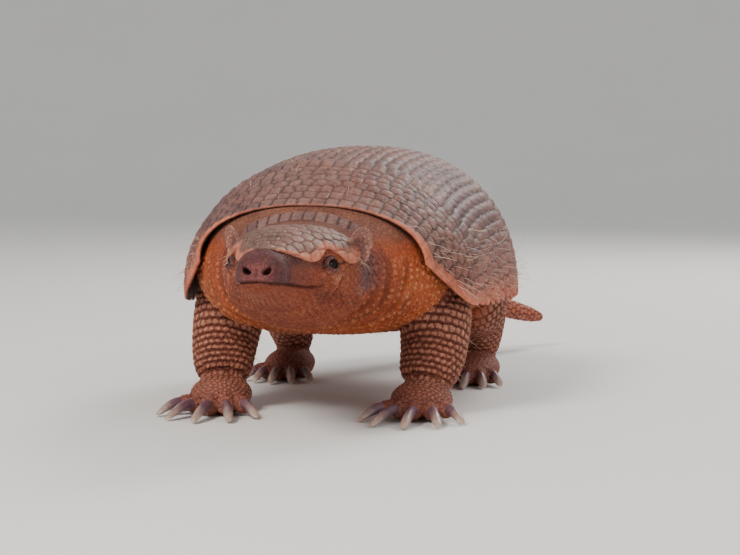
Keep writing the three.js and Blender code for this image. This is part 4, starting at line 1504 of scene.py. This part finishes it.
def shell_bristles():
    """Bristles behind the scutes of the shell: long at the bands' edges and on the rump."""
    rows, reaches, lengths, lifts = [], [], [], []

    def plant(row, reach, low, high, low_lift=8, high_lift=30):
        count = len(reach)
        rows.append(np.broadcast_to(row, count) + rng.normal(0, 0.03, count))
        reaches.append(reach)
        lengths.append(rng.uniform(low, high, count))
        lifts.append(np.radians(rng.uniform(low_lift, high_lift, count)))

    for i in range(BAND_COUNT):
        plant(SHOULDER_ROWS + i + 0.98, rng.uniform(-1, 1, 20), 6, 13)
        for side in SIDES.values():
            plant(SHOULDER_ROWS + i + 0.92, side * rng.uniform(0.7, 1, 6), 10, 18, 20, 60)
    for row in np.arange(0.7, SHOULDER_ROWS, SHOULDER_ROW):
        plant(row, rng.uniform(-1, 1, 10), 4, 9)
        for side in SIDES.values():
            plant(row, side * rng.uniform(0.72, 0.99, 4), 9, 16, 25, 65)
    first = SHOULDER_ROWS + BAND_COUNT
    for row in range(HIP_ROWS):
        share = row / HIP_ROWS
        plant(first + row + 0.95, rng.uniform(-1, 1, int(12 + 14 * share)), 8 + 8 * share, 14 + 18 * share)
        for side in SIDES.values():
            plant(first + row + 0.9, side * rng.uniform(0.85, 1, 5), 13, 26, 10, 40)
    row, reach = np.clip(np.concatenate(rows), 0.05, TOTAL_ROWS - 0.05), np.concatenate(reaches)
    step = 0.02
    inner = np.clip(reach, -1 + step, 1 - step)
    place = shell_face(row, reach * 0.985)
    along = shell_face(row + step, inner) - shell_face(row - step, inner)
    round_it = shell_face(row, inner + step) - shell_face(row, inner - step)
    normal = unit(np.cross(round_it, along))
    normal *= np.sign((normal * (place - [0, 0, 90])).sum(-1))[:, None]
    flat = np.stack([0.5 + arc_length(row, reach) / 340, 0.02 + 0.9 * row / TOTAL_ROWS], -1)
    radii = rng.uniform(0.1, 0.19, len(row))
    return bristle_piece("shell_bristles", place - normal * 0.6, along, normal, np.concatenate(lengths),
                         radii, flat, np.concatenate(lifts))


TAIL_HAIRS = 130


def tail_bristles():
    """Sparse hairs behind the rings of the tail."""
    count = TAIL_HAIRS
    ring = TAIL_RINGS[(rng.uniform(0, 1, count) ** 1.4 * (len(TAIL_RINGS) - 4)).astype(int) + 1]
    angle = rng.uniform(0, 2 * math.pi, count)
    place, middle = on_path(tail_path, tail_radius, ring, angle), tail_path(ring)
    along = tail_path(ring + 0.01) - middle
    lengths = rng.uniform(5, 11, count) * (1 - 0.5 * ring)
    flat = np.stack([0.02 + 0.94 * angle / (2 * math.pi), 0.02 + 0.94 * ring], -1)
    radii = rng.uniform(0.1, 0.16, count)
    return bristle_piece("tail_bristles", place, along, place - middle, lengths, radii, flat,
                         np.radians(rng.uniform(8, 30, count)))


def skin_map(points):
    """The skin's own shape laid flat: turns round the body's axis against length."""
    x, y, z = points.T
    turn = np.arctan2(x, FLANK_Z - z) / (2 * math.pi)
    return np.stack([0.5 + 0.9 * turn, 0.02 + 0.9 * (y + 340) / 480], -1)


def skin_bristles():
    """Short sparse hairs of the belly and legs, a tuft before each ear, and tiny ones on the cheeks."""
    warts = belly_seeds()
    warts = warts[warts[:, 1] > -170]
    warts = warts[rng.uniform(0, 1, len(warts)) < 0.05 + 0.16 * ease(-60, 90, warts[:, 1])]
    legs = both_sides(np.concatenate([limb_seeds(FORE, 0.3), limb_seeds(HIND, 0.34)]))
    legs = legs[rng.uniform(0, 1, len(legs)) < 0.16]
    cheeks = both_sides(cheek_seeds()[::3])
    up, opening, side = ear_axes()
    spots = rng.normal(0, 1, (12, 3)) * [1.2, 1.2, 2.4]
    tufts = both_sides(EAR_BASE + up * 3 + opening * 3 + spots @ np.stack([up, opening, side]))
    groups = [warts, legs, cheeks, tufts]
    roots = np.concatenate(groups)
    kind = np.repeat(np.arange(4), [len(group) for group in groups])
    on_leg, in_tuft = kind == 1, kind == 3
    x, y, z = roots.T
    core = np.stack([np.where(on_leg, np.sign(x) * 74, 0), y, np.where(on_leg, z, FLANK_Z)], -1)
    normal = unit(roots - core + 1e-3)
    along = np.tile([0, 1.0, -0.35], (len(roots), 1))
    along[in_tuft] = np.sign(x[in_tuft])[:, None] * [0.5, 0, 0] + [0, -0.2, -0.4]
    lengths = rng.uniform(4, 8.5, len(roots)) * np.array([1, 1, 0.4, 0.9])[kind]
    radii = rng.uniform(0.1, 0.15, len(roots)) * np.array([1, 1, 0.6, 1])[kind]
    return bristle_piece("skin_bristles", roots - normal * 0.4, along, normal, lengths, radii,
                         skin_map(roots), np.radians(rng.uniform(15, 40, len(roots))))


# ---- Materials ----------------------------------------------------------------------------

class Nodes:
    """A material's node tree, built a node at a time."""

    def __init__(self, name):
        self.material = bpy.data.materials.new(name)
        self.material.use_nodes = True
        self.tree = self.material.node_tree
        self.tree.nodes.clear()
        self.shader = self.add("ShaderNodeBsdfPrincipled")
        output = self.add("ShaderNodeOutputMaterial")
        self.tree.links.new(self.shader.outputs["BSDF"], output.inputs["Surface"])
        self.where = self.add("ShaderNodeTexCoord").outputs["Object"]

    def add(self, kind, inputs=(), **settings):
        """A node with its settings, and values or sockets for its inputs by name."""
        node = self.tree.nodes.new(kind)
        for key, value in settings.items():
            setattr(node, key, value)
        for key, value in dict(inputs).items():
            self.feed(node.inputs[key], value)
        return node

    def feed(self, socket, value):
        if isinstance(value, bpy.types.NodeSocket):
            self.tree.links.new(value, socket)
        elif socket.type == "RGBA":
            socket.default_value = (*value, 1)
        else:
            socket.default_value = value

    def layer(self, name, output="Fac"):
        return self.add("ShaderNodeAttribute", attribute_name=name).outputs[output]

    def noise(self, scale, detail=3, rough=0.55, stretch=None):
        where = self.where
        if stretch:
            where = self.add("ShaderNodeMapping", {"Scale": stretch, "Vector": where}).outputs["Vector"]
        inputs = {"Scale": scale, "Detail": detail, "Roughness": rough, "Vector": where}
        return self.add("ShaderNodeTexNoise", inputs).outputs["Fac"]

    def voronoi(self, scale, feature="F1"):
        inputs = {"Scale": scale, "Vector": self.where}
        return self.add("ShaderNodeTexVoronoi", inputs, feature=feature).outputs["Distance"]

    def spread(self, value, low, high, to_low=0.0, to_high=1.0):
        """The value stretched from low..high to to_low..to_high."""
        inputs = {"From Min": low, "From Max": high, "To Min": to_low, "To Max": to_high, "Value": value}
        return self.add("ShaderNodeMapRange", inputs, clamp=True).outputs["Result"]

    def times(self, value, factor):
        return self.add("ShaderNodeMath", {0: value, 1: factor}, operation="MULTIPLY").outputs[0]

    def blend(self, share, a, b, how="MIX"):
        node = self.add("ShaderNodeMix", {"Factor": share}, data_type="RGBA", blend_type=how)
        colours = [socket for socket in node.inputs if socket.type == "RGBA"]
        for socket, value in zip(colours, (a, b)):
            self.feed(socket, value)
        return next(socket for socket in node.outputs if socket.type == "RGBA")

    def layered(self, colour, *layers):
        """Lays colours over one another: each a share, a way of mixing and a display colour."""
        for share, how, tint in layers:
            colour = self.blend(share, colour, rgb(*tint), how)
        return colour

    def relief(self, height, distance, strength, under=None):
        inputs = {"Distance": distance, "Strength": strength, "Height": height}
        if under is not None:
            inputs["Normal"] = under
        return self.add("ShaderNodeBump", inputs).outputs["Normal"]

    def finish(self, colour, rough, normal=None, **sockets):
        self.feed(self.shader.inputs["Base Color"], colour)
        self.feed(self.shader.inputs["Roughness"], rough)
        if normal is not None:
            self.feed(self.shader.inputs["Normal"], normal)
        for name, value in sockets.items():
            self.shader.inputs[name.replace("_", " ")].default_value = value
        return self.material


def skin_material():
    """Leathery skin: its own tints under dust, fine grain, cracked cells and painted shade in its grooves.
    """
    n = Nodes("dusty_skin")
    grain = n.noise(900, 3, 0.6)
    creases, grains = (n.voronoi(scale, "DISTANCE_TO_EDGE") for scale in (620, 330))
    colour = n.layered(
        n.layer("tint", "Color"),
        (n.spread(n.noise(28, 4, 0.6), 0.4, 0.72, 0, 0.6), "MULTIPLY", (186, 148, 134)),
        (n.spread(n.noise(75, 4), 0.5, 0.78, 0, 0.22), "MIX", (204, 134, 92)),
        (n.spread(grain, 0.35, 0.7, 0, 0.55), "MULTIPLY", (150, 104, 84)),
        (n.spread(grains, 0, 0.16, 0.4, 0), "MULTIPLY", (132, 84, 70)),
        # painted shade in the grooves between scutes
        (n.times(n.layer("cavity"), 0.3), "MULTIPLY", (120, 62, 46)),
        (n.times(n.layer("wart"), 0.12), "MIX", (232, 170, 120)),
    )
    coarse = n.relief(n.spread(grains, 0, 0.25), 0.0004, 0.7)
    fine = n.relief(n.spread(creases, 0, 0.22), 0.00028, 0.7, coarse)
    normal = n.relief(grain, 0.00035, 0.6, fine)
    rough = n.spread(n.noise(160, 2), 0.3, 0.7, 0.6, 0.82)
    return n.finish(colour, rough, normal, Specular_IOR_Level=0.35)


def horn_material(name, pit_scale, gloss):
    """Worn horn of the plates: streaks along the body, pits, dust and painted shade in the grooves."""
    n = Nodes(name)
    streaks = n.noise(240, 4, 0.65, (1, 0.28, 1))
    colour = n.layered(
        n.layer("tint", "Color"),
        (n.spread(n.noise(20, 5, 0.6), 0.45, 0.75, 0, 0.2), "MIX", (190, 108, 76)),
        (n.spread(n.noise(46, 4, 0.6), 0.45, 0.7, 0, 0.6), "MULTIPLY", (176, 150, 152)),
        (n.spread(streaks, 0.35, 0.7, 0, 0.5), "MULTIPLY", (140, 110, 100)),
        (n.spread(n.noise(520, 3), 0.55, 0.8, 0, 0.28), "MIX", (206, 170, 146)),
        # painted shade in the grooves between scutes
        (n.times(n.layer("cavity"), 0.3), "MULTIPLY", (110, 70, 62)),
    )
    fine = n.relief(n.spread(n.voronoi(pit_scale), 0.05, 0.5), 0.00025, 0.6)
    rough = n.spread(n.noise(300, 3), 0.3, 0.7, gloss, gloss + 0.2)
    return n.finish(colour, rough, n.relief(streaks, 0.0003, 0.5, fine), Specular_IOR_Level=0.4)


def claw_material():
    n = Nodes("claw_horn")
    streaks = n.noise(420, 4, 0.6, (1, 0.15, 1))
    colour = n.layered(
        n.blend(n.spread(n.layer("along"), 0.5, 1), CLAW_ROOT_TINT, CLAW_TIP_TINT),
        (n.spread(streaks, 0.35, 0.7, 0, 0.5), "MULTIPLY", (130, 104, 104)),
        (n.spread(n.noise(150, 4), 0.52, 0.78, 0, 0.3), "MIX", (176, 108, 78)),
    )
    rough = n.spread(streaks, 0.3, 0.7, 0.3, 0.48)
    return n.finish(colour, rough, n.relief(streaks, 0.0003, 0.7), Specular_IOR_Level=0.5)


def eye_material():
    """A black pupil, a dark brown iris and a darker rim, by the angle from the eye's front."""
    n = Nodes("wet_eye")
    front = n.layer("from_front")
    iris = n.blend(n.spread(n.noise(2600, 3, 0.6), 0.35, 0.65), rgb(26, 12, 8), rgb(44, 24, 14))
    colour = n.blend(n.spread(front, 0.36, 0.46), rgb(3, 2, 2), iris)
    colour = n.blend(n.spread(front, 0.85, 1.0), colour, rgb(46, 24, 20))
    return n.finish(colour, 0.08, None, Specular_IOR_Level=0.2, Coat_Weight=0.12, Coat_Roughness=0.03)


def bristle_material():
    n = Nodes("pale_bristle")
    colour = n.blend(n.spread(n.layer("shade"), 0.35, 1, 0, 0.55), BRISTLE, rgb(196, 142, 96))
    colour = n.blend(n.spread(n.layer("along"), 0.0, 0.3, 0.5, 0), colour, rgb(150, 96, 62))
    return n.finish(colour, n.spread(n.noise(800, 2), 0.3, 0.7, 0.38, 0.55), None, Specular_IOR_Level=0.5)


def floor_material():
    n = Nodes("pale_floor")
    return n.finish(n.blend(n.noise(3, 3), rgb(226, 224, 220), rgb(232, 230, 227)), 0.75)


# ---- Stage: floor, light and camera -------------------------------------------------------

def aim(thing, place, target):
    thing.location = place
    thing.rotation_euler = (target - place).to_track_quat("-Z", "Y").to_euler()


def area_light(name, place, target, size, watts, tint):
    light = bpy.data.lights.new(name, "AREA")
    light.shape, light.size, light.energy, light.color = "DISK", size, watts, tint
    aim(add_object(name, light), Vector(place), Vector(target))


FLOOR_FLAT, FLOOR_TURN = 3500, 2500  # the floor's flat middle, and the radius of its turn up to a low wall


def build_floor():
    """A round pale floor that turns up at its far edge, with no line between floor and wall."""
    sides = 96
    turn = np.linspace(0, math.pi / 2, 24)
    out = np.concatenate([[1, 1200], FLOOR_FLAT + FLOOR_TURN * np.sin(turn)])
    high = np.concatenate([[0, 0], FLOOR_TURN * (1 - np.cos(turn))])
    out, high = out[:, None], high[:, None]
    angle = np.linspace(0, 2 * math.pi, sides, endpoint=False)
    grid = np.stack([out * np.cos(angle), out * np.sin(angle), high + 0 * angle], -1)
    wall, caps = tube_faces(len(out), sides)
    floor = new_piece("floor", tube_points(grid)[:-1], [wall[:, ::-1], caps[:sides, ::-1]])
    floor.data.materials.append(floor_material())


def build_lights():
    world = bpy.data.worlds.new("soft_sky")
    world.use_nodes = True
    background = world.node_tree.nodes["Background"]
    background.inputs["Color"].default_value = (0.95, 0.97, 1, 1)
    background.inputs["Strength"].default_value = 0.6
    bpy.context.scene.world = world
    middle = (0, -0.1, 0.08)
    area_light("key", (-0.7, -1.5, 1.5), middle, 0.7, 38, (1, 0.95, 0.87))
    area_light("fill", (1.7, -1.3, 1.2), middle, 1.1, 14, (0.96, 0.98, 1))
    area_light("rim", (0.6, 1.5, 1.3), middle, 0.8, 24, (1, 0.97, 0.93))


CAMERA_AZIMUTH, CAMERA_ELEVATION = math.radians(12), math.radians(4)
CAMERA_DISTANCE, LENS = 1.35, 96
TARGET = (0.03, -0.13, 0.092)


def build_camera():
    target = Vector(TARGET)
    direction = Vector((
        math.sin(CAMERA_AZIMUTH) * math.cos(CAMERA_ELEVATION),
        -math.cos(CAMERA_AZIMUTH) * math.cos(CAMERA_ELEVATION),
        math.sin(CAMERA_ELEVATION),
    ))
    data = bpy.data.cameras.new("camera")
    data.lens, data.sensor_width = LENS, 36
    camera = add_object("camera", data)
    aim(camera, target + direction * CAMERA_DISTANCE, target)
    bpy.context.scene.camera = camera


# ---- Putting it together ------------------------------------------------------------------

def cover(pieces, material):
    for piece in pieces:
        piece.data.materials.clear()
        piece.data.materials.append(material)


def main():
    build_camera()
    build_floor()
    build_lights()
    skin = build_skin()
    flesh = ["head", "neck", "trunk"]
    flesh += [f"{part}_{side}" for part in ("ear", "foreleg", "hindleg") for side in SIDES]
    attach(skin, "root")
    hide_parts(*flesh)
    cover([skin], skin_material())
    shell = build_shell()
    head_armour = build_head_shield()
    cover([*shell, build_neck_band()], horn_material("shell_horn", 430, 0.5))
    cover([head_armour], horn_material("head_horn", 520, 0.48))
    cover([build_tail()], horn_material("tail_horn", 480, 0.5))
    cover([build_eye(name, side) for name, side in SIDES.items()], eye_material())
    cover(build_claws(), claw_material())
    bristles = {"shell": shell_bristles(), "skin": skin_bristles(), "tail": tail_bristles()}
    cover(bristles.values(), bristle_material())


main()
